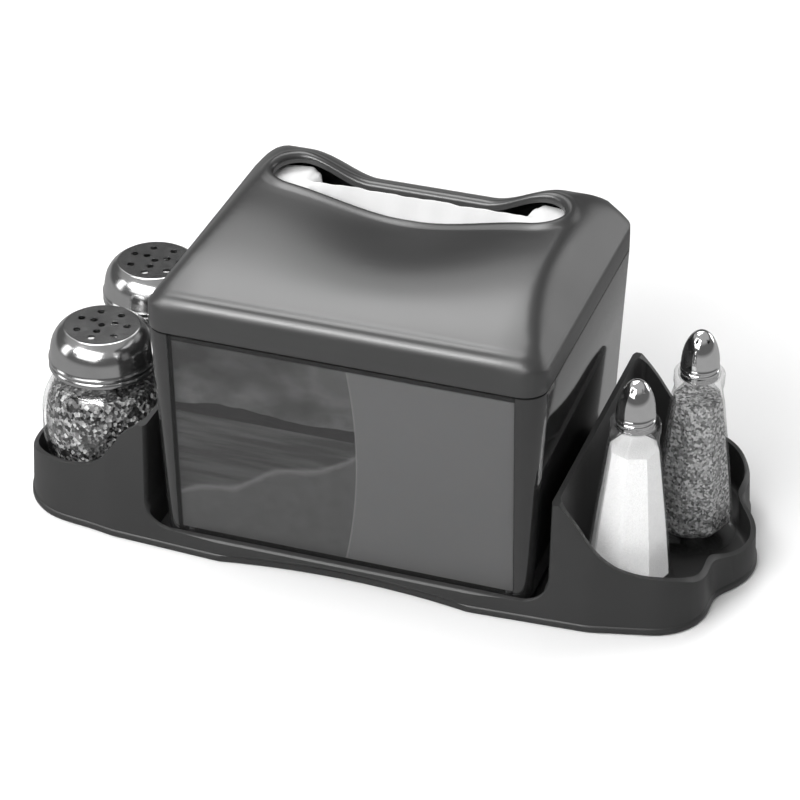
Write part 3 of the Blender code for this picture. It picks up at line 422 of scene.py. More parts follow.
def tray_shape():
    aims = around(190.0, 90.0, 110, 56)
    levels = (
        (FOOT_RISE, 0.3), (FOOT_RISE + 0.5, 0.0), (PLINTH_TOP - 0.6, 0.1), (PLINTH_TOP - 0.1, 0.4),
        (PLINTH_TOP + 0.3, PLINTH_STEP), (20.0, lean(20.0)), (45.0, lean(45.0)),
        (DIVIDER_TOP + 3.0, lean(DIVIDER_TOP + 3.0)),
    )
    rings = []
    for z, inset in levels:
        rings.append(ring(trace(lambda x, y: tray_distance(x, y) + inset, (0, 0), aims), z))
    tray = loft(rings)

    # The top edge, as one side view cut straight through from the front to the back.
    right = [(x, DIVIDER_TOP - fall) for x, fall in eased(FALL_RIGHT)]
    left = [(-x, DIVIDER_TOP - fall) for x, fall in reversed(eased(FALL_LEFT))]
    reach, above, half_deep = 200.0, DIVIDER_TOP + 20.0, TRAY_DEEP / 2
    profile = [(-reach, left[0][1])] + left + right
    profile += [(reach, right[-1][1]), (reach, above), (-reach, above)]
    top_edge = loft([
        ring([(x, y, z - BACK_LOWER * (y + half_deep) / TRAY_DEEP) for x, z in profile])
        for y in (-half_deep - 20.0, half_deep + 20.0)
    ])

    pockets = []
    for side in (-1, 1):
        rings = []
        for z, extra in POCKET_LEVELS:
            inset = lean(z) + TRAY_WALL + extra
            leaning = (DIVIDER_TOP - z) * math.tan(DRAFT) * DIVIDER_LEAN
            divider = DIVIDER_X + TRAY_WALL + extra + leaning

            def pocket(x, y):
                within = -(tray_distance(x, y) + inset)
                return -smooth_least(within, side * x - divider, POCKET_CORNER)

            centre = (side * POCKET_MIDDLE_X, 0.0)
            aims = [(centre[0] + x, y) for x, y in around(40.0, 78.0, 30, 60)]
            rings.append(ring(trace(pocket, centre, aims), z))
        pockets.append(loft(rings))

    bay_y = TRAY_DEEP / 2 - lean(LIP_TOP) - LIP_IN
    bay = loft([
        ring([(-x, -y), (x, -y), (x, y), (-x, y)], z)
        for x, y, z in (
            (DIVIDER_X - BAY_GAP, bay_y, TRAY_FLOOR), (DIVIDER_X, bay_y + 0.1, DIVIDER_TOP + 5.0)
        )
    ])
    under_aims = around(190.0, 90.0, 60, 30)
    under = loft([
        ring(trace(lambda x, y: tray_distance(x, y) + UNDERSIDE_IN, (0, 0), under_aims), z)
        for z in (-1.0, TRAY_FLOOR - TRAY_FLOOR_THICK)
    ])
    cutters = [*pockets, bay, mouth_cutter(), under, top_edge, waist_cutter(-1), waist_cutter(1)]
    result = carved(tray, *cutters)
    bmesh.ops.remove_doubles(result, verts=result.verts, dist=MERGE_CARVED)
    softened(result, [
        edge for edge in result.edges
        if len(edge.link_faces) == 2
        and edge.calc_face_angle(0.0) > EDGE_SHARP
        and edge.verts[0].co.z + edge.verts[1].co.z > 2 * EDGE_FROM_Z * mm
    ], EDGE_SOFT)
    return result


def eased(table):
    """The same falling edge with four points for each step of the table, as a smooth curve."""
    points = [table[0]] + list(table) + [table[-1]]
    result = []
    for a, b, c, d in zip(points, points[1:], points[2:], points[3:]):
        for k in range(4):
            t = k / 4
            result.append(tuple(
                0.5 * (2 * q + (r - p) * t + (2 * p - 5 * q + 4 * r - s) * t**2
                       + (3 * q - p - 3 * r + s) * t**3)
                for p, q, r, s in zip(a, b, c, d)
            ))
    return result + [table[-1]]


def mouth_section(extra_side, extra_low):
    """The U shape of the mouth, grown sideways and downwards."""
    half, low = DIVIDER_X + extra_side, LIP_TOP - extra_low
    points = [(half, DIVIDER_TOP + 6.0)]
    steps = 18
    for k in range(steps + 1):
        angle = math.radians(90 * k / steps)
        points.append((
            half - MOUTH_RADIUS * (1 - math.cos(angle)), low + MOUTH_RADIUS * (1 - math.sin(angle))
        ))
    return points + [(-x, z) for x, z in reversed(points)]


def mouth_cutter():
    half_deep, steps = TRAY_DEEP / 2, 10
    depths = [-8.0] + [ROLL_SIDE * math.sin(math.radians(90 * k / steps)) for k in range(steps + 1)]
    graded = []
    for depth in depths:
        share = 1.0 - max(depth, 0.0) / ROLL_SIDE
        graded.append((half_deep - depth, 1.0 - math.sqrt(max(1.0 - share**2, 0.0))))
    rings = []
    for sign in (-1, 1):
        for y, grow in graded if sign < 0 else reversed(graded):
            section = mouth_section(ROLL_SIDE * grow, ROLL_LIP * grow)
            rings.append(ring([(x, sign * (y - lean(z)), z) for x, z in section]))
    return loft(rings)


def waist_cutter(side):
    """The shallow hollow in the foot of the front or the back."""
    radius = (WAIST_HALF**2 + WAIST_DEPTH**2) / (2 * WAIST_DEPTH)
    centre = side * (TRAY_DEEP / 2 - WAIST_DEPTH + radius)
    rings = []
    for z, grow in ((-1.0, 0.0), (PLINTH_TOP, 0.0), (WAIST_TOP, -WAIST_DEPTH + 1.0)):
        points = []
        for k in range(49):
            angle = math.radians(-12 + 0.5 * k)
            points.append((
                (radius + grow) * math.sin(angle), centre - side * (radius + grow) * math.cos(angle)
            ))
        rings.append(ring(points + [(80.0, side * 120.0), (-80.0, side * 120.0)], z))
    return loft(rings)


caddy_look = Look("satin_black_moulding", IOR=1.5, Specular_IOR_Level=0.5)
grain = caddy_look.noise(2600.0, 2.0)
cloud = caddy_look.noise(14.0, 4.0)
rub = caddy_look.noise(120.0, 5.0, (1, 1, 0.25), 0.65)
caddy_look.surface(
    caddy_look.mix(cloud, 0.020, 0.032), 0.36 + 0.10 * rub + 0.06 * cloud,
    grain * 0.6 + rub * 0.4, 0.12, 0.0002,
)
piece("caddy_moulding", tray_shape(), caddy_look, "caddy", ["caddy_tray"], 34.0)

rubber_look = Look("dull_rubber")
rub_grain = rubber_look.noise(1800.0, 3.0)
rubber_look.surface(
    rubber_look.mix(rub_grain, 0.012, 0.03), 0.8 + 0.15 * rub_grain, rub_grain, 0.3, 0.0002
)


def refinish(look, *names):
    """Gives CAD nodes whose shape is already right their finish."""
    for name in names:
        for slot in nodes[name].material_slots:
            slot.material = look.owner


refinish(rubber_look, *[f"caddy_foot_{k}" for k in range(1, 6)])
refinish(rubber_look, *[f"body_foot_{k}" for k in range(1, 5)])

# ---------------------------------------------------------------- dispenser body
# A drafted box of smoked styrene, clear only over its front window, so that the advert card
# inside shows through. It is screwed to a black base plate and carries three hinge knuckles.
BOX_LONG, BOX_DEEP, BOX_CORNER = 197.0, 159.0, 12.0
BODY_DRAFT = math.radians(2.5)
BODY_WALL, SEAM_Z, SEAM_GAP, FLANGE = 2.5, 126.6, 0.6, 8.0
BODY_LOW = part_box("body_shell")[0].z / mm
BODY_TOP = SEAM_Z - SEAM_GAP / 2
HINGE_R, PIN_R, HINGE_OUT, HINGE_SPAN, KNUCKLES = 3.2, 1.5, 3.9, 120.0, 5
HINGE_Y = BOX_DEEP / 2 + HINGE_OUT
KNUCKLE_GAP, PIN_FIT, KNUCKLE_SOFT = 0.3, 0.25, 0.4
WINDOW_FRONT, WINDOW_HALF, WINDOW_CLEAR = -0.068, 0.0857, 0.62


def box_outline(inset, per_corner=16):
    """The dispenser's rounded rectangle, shrunk by inset, from the middle of the right side."""
    half_x, half_y = BOX_LONG / 2 - inset, BOX_DEEP / 2 - inset
    radius = max(BOX_CORNER - inset * 0.8, 2.0)
    points = []
    for sx, sy, start in ((1, 1, 0), (-1, 1, 90), (-1, -1, 180), (1, -1, 270)):
        for k in range(per_corner):
            angle = math.radians(start + 90 * k / (per_corner - 1))
            points.append((
                sx * (half_x - radius) + radius * math.cos(angle),
                sy * (half_y - radius) + radius * math.sin(angle),
            ))
    return points


def body_inset(z):
    """How far the body's outside has drawn in below the rim."""
    return (SEAM_Z - z) * math.tan(BODY_DRAFT)


def block(shape, low, high, soften):
    """A bevelled bar added to a shape."""
    made = bmesh.ops.create_cube(shape, size=1.0)["verts"]
    low, high = Vector(low) * mm, Vector(high) * mm
    bmesh.ops.scale(shape, vec=high - low, verts=made)
    bmesh.ops.translate(shape, vec=(low + high) / 2, verts=made)
    softened(shape, list({edge for vert in made for edge in vert.link_edges}), soften)


def barrel(shape, left, right, outer, inner):
    """A hinge knuckle with its bore, softened at both ends, added to a shape."""
    soften = KNUCKLE_SOFT
    outline = [
        (left, inner), (left, outer - soften), (left + soften, outer), (right - soften, outer),
        (right, outer - soften), (right, inner),
    ]
    verts = [shape.verts.new(Vector((x, HINGE_Y + r, SEAM_Z)) * mm) for x, r in outline]
    edges = [shape.edges.new((a, b)) for a, b in zip(verts, verts[1:] + verts[:1])]
    bmesh.ops.spin(
        shape, geom=verts + edges, cent=Vector((0, HINGE_Y, SEAM_Z)) * mm, axis=(1, 0, 0),
        angle=2 * math.pi, steps=28, use_merge=True,
    )


def knuckles(shape, on_body):
    """The hinge knuckles of one side of the hinge, each on its own arm."""
    wide = HINGE_SPAN / KNUCKLES
    for number in range(KNUCKLES):
        if (number % 2 == 0) != on_body:
            continue
        left = -HINGE_SPAN / 2 + number * wide + KNUCKLE_GAP
        right = left + wide - 2 * KNUCKLE_GAP
        barrel(shape, left, right, HINGE_R, PIN_R + PIN_FIT)
        low, high = (SEAM_Z - 9.0, SEAM_Z - 1.8) if on_body else (SEAM_Z + 1.8, SEAM_Z + 4.5)
        block(shape, (left, BOX_DEEP / 2 - 1.6, low), (right, HINGE_Y, high), 0.5)


def shell_shape():
    flange_top = BODY_LOW + 2.5
    flange_in = body_inset(BODY_LOW) + BODY_WALL + FLANGE
    levels = (                      # height, where the draft is taken, how far in from there
        (BODY_LOW, BODY_LOW, 0.4), (BODY_LOW + 0.4, BODY_LOW, 0.0), (50.0, 50.0, 0.0),
        (90.0, 90.0, 0.0), (BODY_TOP - 0.5, BODY_TOP, 0.0), (BODY_TOP - 0.15, BODY_TOP, 0.15),
        (BODY_TOP, BODY_TOP, 0.5), (BODY_TOP, BODY_TOP, BODY_WALL), (90.0, 90.0, BODY_WALL),
        (50.0, 50.0, BODY_WALL), (flange_top, flange_top, BODY_WALL),
    )
    rings = [ring(box_outline(body_inset(draft_z) + inwards), z) for z, draft_z, inwards in levels]
    rings += [ring(box_outline(flange_in), z) for z in (flange_top, BODY_LOW)]
    return loft(rings, closed=True)


smoked_look = Look("smoked_styrene", IOR=1.55, Specular_IOR_Level=0.6, Coat_Roughness=0.04)
across, deep, up = smoked_look.axes()
window = (deep < WINDOW_FRONT) * (smoked_look.maths("ABSOLUTE", across) < WINDOW_HALF)
dust = smoked_look.noise(420.0, 4.0, (1, 1, 0.4), 0.6)
ripple = smoked_look.noise(26.0, 2.0)
smoked_look.feed(smoked_look.shader.inputs["Coat Weight"], 0.5 + 0.3 * dust)
smoked_look.surface(
    smoked_look.mix(dust, 0.014, 0.022), 0.07 + 0.06 * dust, ripple, 0.05, 0.0006,
    1.0 - WINDOW_CLEAR * window,
)
shell = shell_shape()
bmesh.ops.recalc_face_normals(shell, faces=shell.faces)
knuckles(shell, True)
piece("smoked_body", shell, smoked_look, "dispenser", ["body_shell"], 40.0)

inner_look = Look("black_moulded_inner")
inner_grain = inner_look.noise(1500.0, 3.0)
inner_cloud = inner_look.noise(30.0, 3.0)
inner_look.surface(
    inner_look.mix(inner_cloud, 0.012, 0.026), 0.5 + 0.2 * inner_grain, inner_grain, 0.2, 0.0002
)
refinish(inner_look, "base_plate", "card_retainer", "follower_plate")

steel_look = Look("bright_steel", Metallic=1.0)
draw_marks = steel_look.noise(700.0, 3.0, (0.1, 1, 1))
steel_look.surface(
    steel_look.mix(draw_marks, 0.42, 0.62), 0.22 + 0.15 * draw_marks, draw_marks, 0.08, 0.0002
)
refinish(steel_look, *[f"base_screw_{k}" for k in range(1, 5)])

# The lift spring stands on the base plate, below the platform that it lifts.
coil = bmesh.new()
coil.from_mesh(nodes["lift_spring"].data)
platform_spring = piece(
    "platform_spring", coil, steel_look, "dispenser", ["lift_spring"], 50.0
)
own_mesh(platform_spring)

# ---------------------------------------------------------------- advert card
# A printed card slides in behind the smoked front. Its left part is a seaside view, and the
# rest is a plain panel that meets the view in a gentle arc with a fine pale line.
RIDGE_UP, HORIZON_UP, SHORE_UP, SHORE_CLIMB, CARD_LEFT = 86.0, 82.0, 28.0, 0.44, 84.0
ARC_X, ARC_UP, ARC_BEND, ARC_LINE, FOAM_WIDE = 6.9, 74.0, 0.0415, 0.55, 2.4
card_look = Look("printed_card", Specular_IOR_Level=0.2)
mix, noise, maths = card_look.mix, card_look.noise, card_look.maths
across, deep, up = card_look.axes()
across, up = across * 1000.0, up * 1000.0
fibre = noise(1600.0, 3.0)
billow = noise(24.0, 6.0, (1, 1, 1.6), 0.6)
swirl = noise(60.0, 5.0, (1, 1, 2.2), 0.6)
sky = card_look.ramp(
    billow + card_look.clamp((up - 88.0) / 80.0) * 0.10 + (across + 40.0) * 0.002,
    (0.36, 0.16), (0.50, 0.27), (0.62, 0.42), (0.75, 0.33),
)
ridge = RIDGE_UP + 5.0 * swirl + maths("SINE", across * 0.09) * 1.4
hills = mix(swirl, 0.05, 0.11)
sea = mix(card_look.ramp(noise(90.0, 4.0, (0.25, 1, 3.0)), (0.4, 0.0), (0.65, 1.0)), 0.16, 0.30)
shore = SHORE_UP + (across + CARD_LEFT) * SHORE_CLIMB
shore = shore + maths("SINE", across * 0.14) * 2.2 + swirl * 6.0
sand = mix(noise(150.0, 5.0), 0.24, 0.38)
foam = card_look.clamp(1.0 - maths("ABSOLUTE", up - shore - 1.0) / FOAM_WIDE)
past_arc = across - (ARC_X - ((up - ARC_UP) * ARC_BEND) ** 2.0)
view = mix(up < ridge, sky, hills)
view = mix(up < HORIZON_UP, view, sea)
view = mix(up < shore, view, sand)
view = mix(foam * 0.8, view, 0.62)
panel = mix(card_look.clamp(up / 130.0), 0.50, 0.56)
face = mix(past_arc > 0.0, view, panel)
line = card_look.clamp(1.0 - maths("ABSOLUTE", past_arc) / ARC_LINE)
face = mix(line * 0.7, face, 0.85)
card_look.surface(mix(fibre * 0.12, face, 0.2), 0.55 + 0.2 * fibre, fibre, 0.1, 0.0001)
refinish(card_look, "advert_card")

# ---------------------------------------------------------------- cover
# The hinged top is one thick black moulding with an upright skirt, a rounded lip, a crowned
# and sagging top, sloping ends, and a rolled and beaded slot for the napkins.
COVER_WALL, SKIRT, LIP_RISE, LIP_RUN, CREST_RISE = 2.4, 9.4, 10.0, 8.0, 14.6
SADDLE_DIP, SADDLE_FLAT, SADDLE_END = 10.5, 30.0, 66.0
SLOT_LONG, SLOT_WIDE, SLOT_Y, SLOT_ROLL, SLOT_SKIRT = 154.0, 33.0, 35.0, 3.0, 2.0
BEAD_RISE, BEAD_RUN, COVER_POINTS = 1.2, 5.0, 260
CROWN_FRONT, CROWN_BACK, END_SLOPE, EDGE_ROUND = 72.0, 30.0, 1.25, 5.0
LIP_STEPS = (0.06, 0.2, 0.45, 0.8, 1.3, 1.9, 2.6, 3.4, 4.3, 5.3, 6.4, 7.6, 9.0, 10.8, 13.0)
BEAD_STEPS = (0.85, 0.7, 0.55, 0.4, 0.25, 0.1, 0.0)
ROLL_ANGLES = (18, 35, 50, 64, 77, 90)


def corner_insets(x, y):
    """Distances in from the end wall and from the front or back wall, run together at corners."""
    qx = abs(x) - (BOX_LONG / 2 - BOX_CORNER)
    qy = abs(y) - (BOX_DEEP / 2 - BOX_CORNER)
    if qx <= 0 or qy <= 0:
        return BOX_CORNER - qx, BOX_CORNER - qy, min(BOX_CORNER - qx, BOX_CORNER - qy)
    radius = math.hypot(qx, qy)
    from_end = BOX_CORNER - radius * math.sqrt(qx / radius)
    from_side = BOX_CORNER - radius * math.sqrt(qy / radius)
    return from_end, from_side, BOX_CORNER - radius


def rounded_rise(distance, run, rise):
    if distance >= run:
        return rise
    return rise * math.sqrt(max(1.0 - (1.0 - max(distance, 0.0) / run) ** 2, 0.0))


def cover_height(x, y):
    """Height of the cover's outside over the point."""
    shoulder = SEAM_Z + SKIRT
    from_end, from_side, from_edge = corner_insets(x, y)
    swell = 1.0 - (1.0 - min(max((from_side - LIP_RUN) / CROWN_FRONT, 0.0), 1.0)) ** 2.2
    if y > 0:
        swell = 1.0 - (1.0 - min(max((from_side - 2.0) / CROWN_BACK, 0.0), 1.0)) ** 2.0
    crown = shoulder + rounded_rise(from_side, LIP_RUN, LIP_RISE) + CREST_RISE * swell
    end = shoulder + rounded_rise(from_end, 2.0, 4.0) + max(from_end - 1.5, 0.0) * END_SLOPE
    height = smooth_least(crown, end, 5.0 + 5.0 * smooth_step(0.0, 60.0, y))
    far = smooth_step(SLOT_Y - 24.0, SLOT_Y + 16.0, y)
    sag = 1.0 - smooth_step(SADDLE_FLAT * far, SADDLE_END + 10.0 * (1.0 - far), abs(x))
    reach = smooth_step(-BOX_DEEP / 2 + 10.0, SLOT_Y - SLOT_WIDE / 2 + 4.0, y)
    height -= SADDLE_DIP * sag * reach
    if from_edge < EDGE_ROUND:
        height = min(height, shoulder + rounded_rise(from_edge, EDGE_ROUND, 14.0))
    past_straight = max(abs(x) - (SLOT_LONG - SLOT_WIDE) / 2, 0.0)
    from_slot = math.hypot(past_straight, y - SLOT_Y) - SLOT_WIDE / 2
    height += BEAD_RISE * (1.0 - smooth_step(0.0, BEAD_RUN, from_slot))
    return max(height, shoulder)


def slot_outline(inset, count):
    """The slot's rounded ends and straight sides, walked like the cover's outline."""
    radius = SLOT_WIDE / 2 - inset
    straight = SLOT_LONG / 2 - SLOT_WIDE / 2
    turn = math.pi * radius
    quarter, long_side = turn / 2, 2 * straight
    points = []
    for k in range(count):
        s = k / count * (2 * long_side + 2 * turn)
        if s < quarter:
            angle, middle = s / radius, straight
        elif s < quarter + long_side:
            points.append((straight - (s - quarter), radius))
            continue
        elif s < quarter + long_side + turn:
            angle, middle = math.pi / 2 + (s - quarter - long_side) / radius, -straight
        elif s < quarter + 2 * long_side + turn:
            points.append((-straight + (s - quarter - long_side - turn), -radius))
            continue
        else:
            angle = 3 * math.pi / 2 + (s - quarter - 2 * long_side - turn) / radius
            middle = straight
        points.append((middle + radius * math.cos(angle), radius * math.sin(angle)))
    return [(x, y + SLOT_Y) for x, y in points]


def even_outline(points, count):
    """Spaces points evenly round a loop."""
    closed = points + points[:1]
    lengths = [math.dist(a, b) for a, b in zip(closed[:-1], closed[1:])]
    whole = sum(lengths)
    result = []
    for k in range(count):
        target = whole * k / count
        for (ax, ay), (bx, by), part in zip(closed[:-1], closed[1:], lengths):
            if target <= part:
                t = target / part
                result.append((ax + (bx - ax) * t, ay + (by - ay) * t))
                break
            target -= part
    return result


def cover_rim(count, inset):
    """The cover's outline starting level with the slot's middle on the right."""
    return even_outline([(BOX_LONG / 2 - inset, SLOT_Y)] + box_outline(inset, 24), count)


def drawn_in(outer, inner, distance=0.0, share=None):
    """Moves each outer point towards its inner one, by a distance or by a share of the way."""
    points = []
    for (ax, ay), (bx, by) in zip(outer, inner):
        t = distance / math.dist((ax, ay), (bx, by)) if share is None else share
        points.append((ax + (bx - ax) * t, ay + (by - ay) * t))
    return points


def cover_shape():
    low = SEAM_Z + SEAM_GAP / 2
    count = COVER_POINTS
    outer, within = cover_rim(count, 0.0), cover_rim(count, COVER_WALL)
    slot = slot_outline(0.0, count)
    rings = [
        ring(cover_rim(count, 0.4), low), ring(cover_rim(count, 0.1), low + 0.15),
        ring(outer, low + 0.5), ring(outer, SEAM_Z + SKIRT * 0.6),
        ring(outer, SEAM_Z + SKIRT * 0.85),
    ]

    def over(points, drop=0.0):
        rings.append(ring([(x, y, cover_height(x, y) - drop) for x, y in points]))

    for distance in LIP_STEPS:
        over(drawn_in(outer, slot, distance))
    start = drawn_in(outer, slot, LIP_STEPS[-1])
    bead = slot_outline(-BEAD_RUN, count)
    steps = 14
    for k in range(steps):
        over(drawn_in(start, bead, share=(k + 1) / steps))
    for outside in BEAD_STEPS:
        over(slot_outline(-BEAD_RUN * outside, count))

    def roll(inset, drop):
        points = [
            (x, y, cover_height(rx, ry) - drop)
            for (x, y), (rx, ry) in zip(slot_outline(inset, count), slot)
        ]
        rings.append(ring(points))

    for angle in ROLL_ANGLES:
        turn = math.radians(angle)
        roll(SLOT_ROLL * math.sin(turn), SLOT_ROLL * (1 - math.cos(turn)))
    behind, underside = SLOT_ROLL - COVER_WALL * 0.8, COVER_WALL + 0.2
    roll(SLOT_ROLL, SLOT_ROLL + SLOT_SKIRT)
    roll(behind, SLOT_ROLL + SLOT_SKIRT)
    roll(behind, SLOT_ROLL + 0.6)
    for share in (0.96, 0.7, 0.4, 0.12):
        over(drawn_in(start, slot, share=share), underside)
    for distance in (6.0, 2.0, 0.0):
        over(drawn_in(within, slot, distance), underside)
    rings.append(ring(within, low))
    return loft(rings, closed=True)


cover_look = Look("cover_moulding", IOR=1.5, Specular_IOR_Level=0.85)
fine = cover_look.noise(2400.0, 2.0)
sweep = cover_look.noise(40.0, 4.0, (0.3, 1, 1))
across, deep, up = cover_look.axes()
frosted = cover_look.step(cover_look.maths("ABSOLUTE", across), 0.070, 0.088)
cover_look.surface(
    cover_look.mix(sweep, 0.024, 0.034), 0.26 + 0.08 * sweep + 0.12 * frosted,
    fine, 0.10, 0.0002,
)
lid = cover_shape()
bmesh.ops.recalc_face_normals(lid, faces=lid.faces)
knuckles(lid, False)
piece("cover_moulding", lid, cover_look, "cover", ["cover"], 42.0)

pin_shape = bmesh.new()
barrel(pin_shape, -HINGE_SPAN / 2 - 1.5, HINGE_SPAN / 2 + 1.5, PIN_R, 0.0)
piece("bright_hinge_pin", pin_shape, steel_look, "dispenser", ["hinge_pin"])

# ---------------------------------------------------------------- napkins
# A pressed block of folded tissue sits on the spring platform, and the top napkin's fold
# stands up in the slot, ready to be pinched.
paper_look = Look("white_tissue", Specular_IOR_Level=0.1)
crepe = paper_look.noise(900.0, 4.0, (1, 0.5, 0.5))
soft = paper_look.noise(45.0, 3.0)
paper_look.surface(
    paper_look.mix(soft, 0.70, 0.76), 0.86 + 0.1 * crepe, crepe + soft * 2.0, 0.25, 0.0003
)

random.seed(12)
stack_low, stack_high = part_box("napkin_stack")
sheets = bmesh.new()
leaves, soft_corner = 46, 3.0 * mm
leaf = (stack_high.z - stack_low.z) / leaves


def leaf_outline(inset):
    """A napkin's edge with softly rounded corners."""
    low, high = stack_low, stack_high
    points = []
    for sx, sy, start in ((1, 1, 0), (0, 1, 90), (0, 0, 180), (1, 0, 270)):
        cx = high.x - soft_corner if sx else low.x + soft_corner
        cy = high.y - soft_corner if sy else low.y + soft_corner
        for k in range(5):
            angle = math.radians(start + 22.5 * k)
            reach = soft_corner - inset
            points.append((cx + reach * math.cos(angle), cy + reach * math.sin(angle)))
    return points


rings = []
for number in range(leaves):
    inset = random.uniform(0.0, 0.5) * mm
    z = stack_low.z + number * leaf
    for share, extra in ((0.04, 0.5), (0.3, 0.0), (0.75, 0.0), (0.98, 0.5)):
        outline = leaf_outline(inset + extra * mm)
        rings.append([Vector((x, y, z + leaf * share)) for x, y in outline])
loft(rings, shape=sheets)
piece("napkin_block", sheets, paper_look, "platform", ["napkin_stack"], 60.0)

FOLD_Y, NAPKIN_HALF, NAPKIN_TOP, STATIONS, FACE_STEPS = 35.0, 79.0, 155.3, 150, 9
FOLD_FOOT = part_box("first_napkin")[0].z / mm
HALF_NAPKIN = (                 # x, front, back, shoulder, ridge
    (NAPKIN_HALF, 25.0, 49.0, 150.5, 150.9), (77.0, 22.8, 51.5, 153.0, 153.5),
    (60.0, 22.4, 52.0, 153.8, 154.3), (56.0, 22.8, 50.0, 152.4, 154.6),
    (51.0, 27.0, 43.0, 148.0, 155.0), (44.0, 27.0, 42.0, 143.5, 155.0),
    (30.0, 27.0, 42.0, 142.0, 155.0),
)
NAPKIN_STATIONS = [(-x, *rest) for x, *rest in HALF_NAPKIN] + list(reversed(HALF_NAPKIN))


def napkin_at(x):
    """Front, back, shoulder and ridge of the top napkin at a place along it."""
    for (xa, *a), (xb, *b) in zip(NAPKIN_STATIONS, NAPKIN_STATIONS[1:]):
        if x <= xb:
            t = smooth_step(0.0, 1.0, (x - xa) / (xb - xa))
            return [p + (q - p) * t for p, q in zip(a, b)]
    return NAPKIN_STATIONS[-1][1:]


rings = []
for k in range(STATIONS + 1):
    x = -NAPKIN_HALF + 2 * NAPKIN_HALF * k / STATIONS
    front, back, shoulder, peak = napkin_at(x)
    sway = 0.30 * math.sin(k * 0.17) + 0.16 * math.sin(k * 0.43 + 1.0)
    dent = 0.22 * math.sin(k * 0.29 + 2.0) + 0.12 * math.sin(k * 0.71)
    rise = peak - shoulder
    shares = [number / FACE_STEPS for number in range(1, FACE_STEPS)]
    outline = [
        (front, FOLD_FOOT), (back, FOLD_FOOT), (back, shoulder - 1.6), (back - 0.5, shoulder - 0.5),
        (back - 1.6, shoulder - 0.1),
    ]
    for t in shares:
        y = back - 1.6 + (FOLD_Y + 0.5 - back + 1.6) * t
        outline.append((y, shoulder + rise * t**3 * 0.98 + dent * t))
    outline += [(FOLD_Y + 0.25, peak - 0.12 + dent), (FOLD_Y - 0.3, peak - 0.16 + dent)]
    for t in reversed(shares):
        y = front + 1.4 + (FOLD_Y - 0.6 - front - 1.4) * t**0.9
        outline.append((y, shoulder + rise * t**1.6 * 0.97 + dent * t))
    outline += [
        (front + 1.4, shoulder - 0.1), (front + 0.4, shoulder - 0.6), (front, shoulder - 1.8),
    ]
    rings.append(ring([
        (x, y + (0.0 if z < shoulder else sway), min(z, NAPKIN_TOP)) for y, z in outline
    ]))
piece("top_napkin_fold", loft(rings), paper_look, "platform", ["first_napkin"], 50.0)

# ---------------------------------------------------------------- glass jars
# Two squat moulded jars, fluted like a melon, hold coarse dried flakes under screwed lids.
JAR_X, JAR_Y, JAR_R, JAR_TALL = -140.3, 33.5, 32.9, 74.0
JAR_NECK_R, JAR_FLUTES, JAR_FLUTE = 23.9, 14, 1.3
JAR_CLEAR = 1.0                 # glass that shows outside the flakes
JAR_FOOT = TRAY_FLOOR + 0.3
JAR_BOTTOM = 7.6
RIM_MIRROR, RIM_POWER, FACE_MIRROR = 0.75, 4.0, 0.045
JAR_PROFILE = (
    (JAR_NECK_R, JAR_TALL), (JAR_NECK_R, JAR_TALL - 12.0), (27.0, JAR_TALL - 15.5),
    (31.2, JAR_TALL - 24.0), (JAR_R, JAR_TALL - 34.0), (32.5, 30.0), (30.4, 18.0),
    (27.8, 7.0), (27.0, 2.5), (25.0, 0.0),
)


def curved(points, times):
    """Rounds an open outline by cutting its corners again and again."""
    for _ in range(times):
        cut = [points[0]]
        for (ax, ay), (bx, by) in zip(points[:-1], points[1:]):
            cut.append((ax * 0.75 + bx * 0.25, ay * 0.75 + by * 0.25))
            cut.append((ax * 0.25 + bx * 0.75, ay * 0.25 + by * 0.75))
        points = cut + [points[-1]]
    return points


def clear_glass(name, tint, extra, streak_scale):
    """Glass seen through: a clear layer, with mirror reflections that grow towards the rim."""
    look = Look(name, Metallic=1.0)
    wave = look.noise(streak_scale, 2.0, (1, 1, 0.12))
    smear = look.noise(300.0, 3.0, (1, 1, 0.3))
    look.surface(0.95 - 0.05 * smear, 0.03 + 0.05 * smear, wave, 0.25, 0.0008)
    clear = look.node("ShaderNodeBsdfTransparent", {}, {"Color": tint})
    facing = look.node("ShaderNodeLayerWeight", {}, {"Blend": 0.5}, "Facing")
    share = look.clamp(facing ** RIM_POWER * RIM_MIRROR + FACE_MIRROR + extra)
    mirror = Value(look, look.shader.outputs[0])
    mixed = look.node("ShaderNodeMixShader", {}, {0: share, 1: clear, 2: mirror})
    look.feed(look.tree.nodes["Material Output"].inputs["Surface"], mixed)
    return look


jar_glass = clear_glass("jar_glass", 0.96, 0.03, 60.0)


def fluted(radius, height, steps, depth):
    """A ring of flutes that fade out towards the jar's foot and its neck."""
    fade = smooth_step(0.0, 10.0, height)
    if height > JAR_TALL - 24:
        fade *= smooth_step(JAR_TALL - 14.0, JAR_TALL - 20.0, height)
    points = []
    for k in range(steps):
        angle = 2 * math.pi * k / steps
        wave = 0.5 + 0.5 * math.cos(JAR_FLUTES * angle)
        reach = radius - depth * fade * wave
        points.append((reach * math.cos(angle), reach * math.sin(angle)))
    return points


def jar_shape(y):
    thin = JAR_CLEAR + JAR_FLUTE
    outside = [(r, h, JAR_FLUTE) for r, h in reversed(curved(list(JAR_PROFILE), 2))]
    inside = [(r, h, 0.0) for r, h in curved([(r - thin, h) for r, h in JAR_PROFILE[:-2]], 2)]
    rings = []
    for radius, height, depth in outside + inside:
        points = fluted(radius, height, JAR_FLUTES * 12, depth)
        rings.append(ring([(JAR_X + px, y + py) for px, py in points], JAR_FOOT + height))
    return loft(rings)


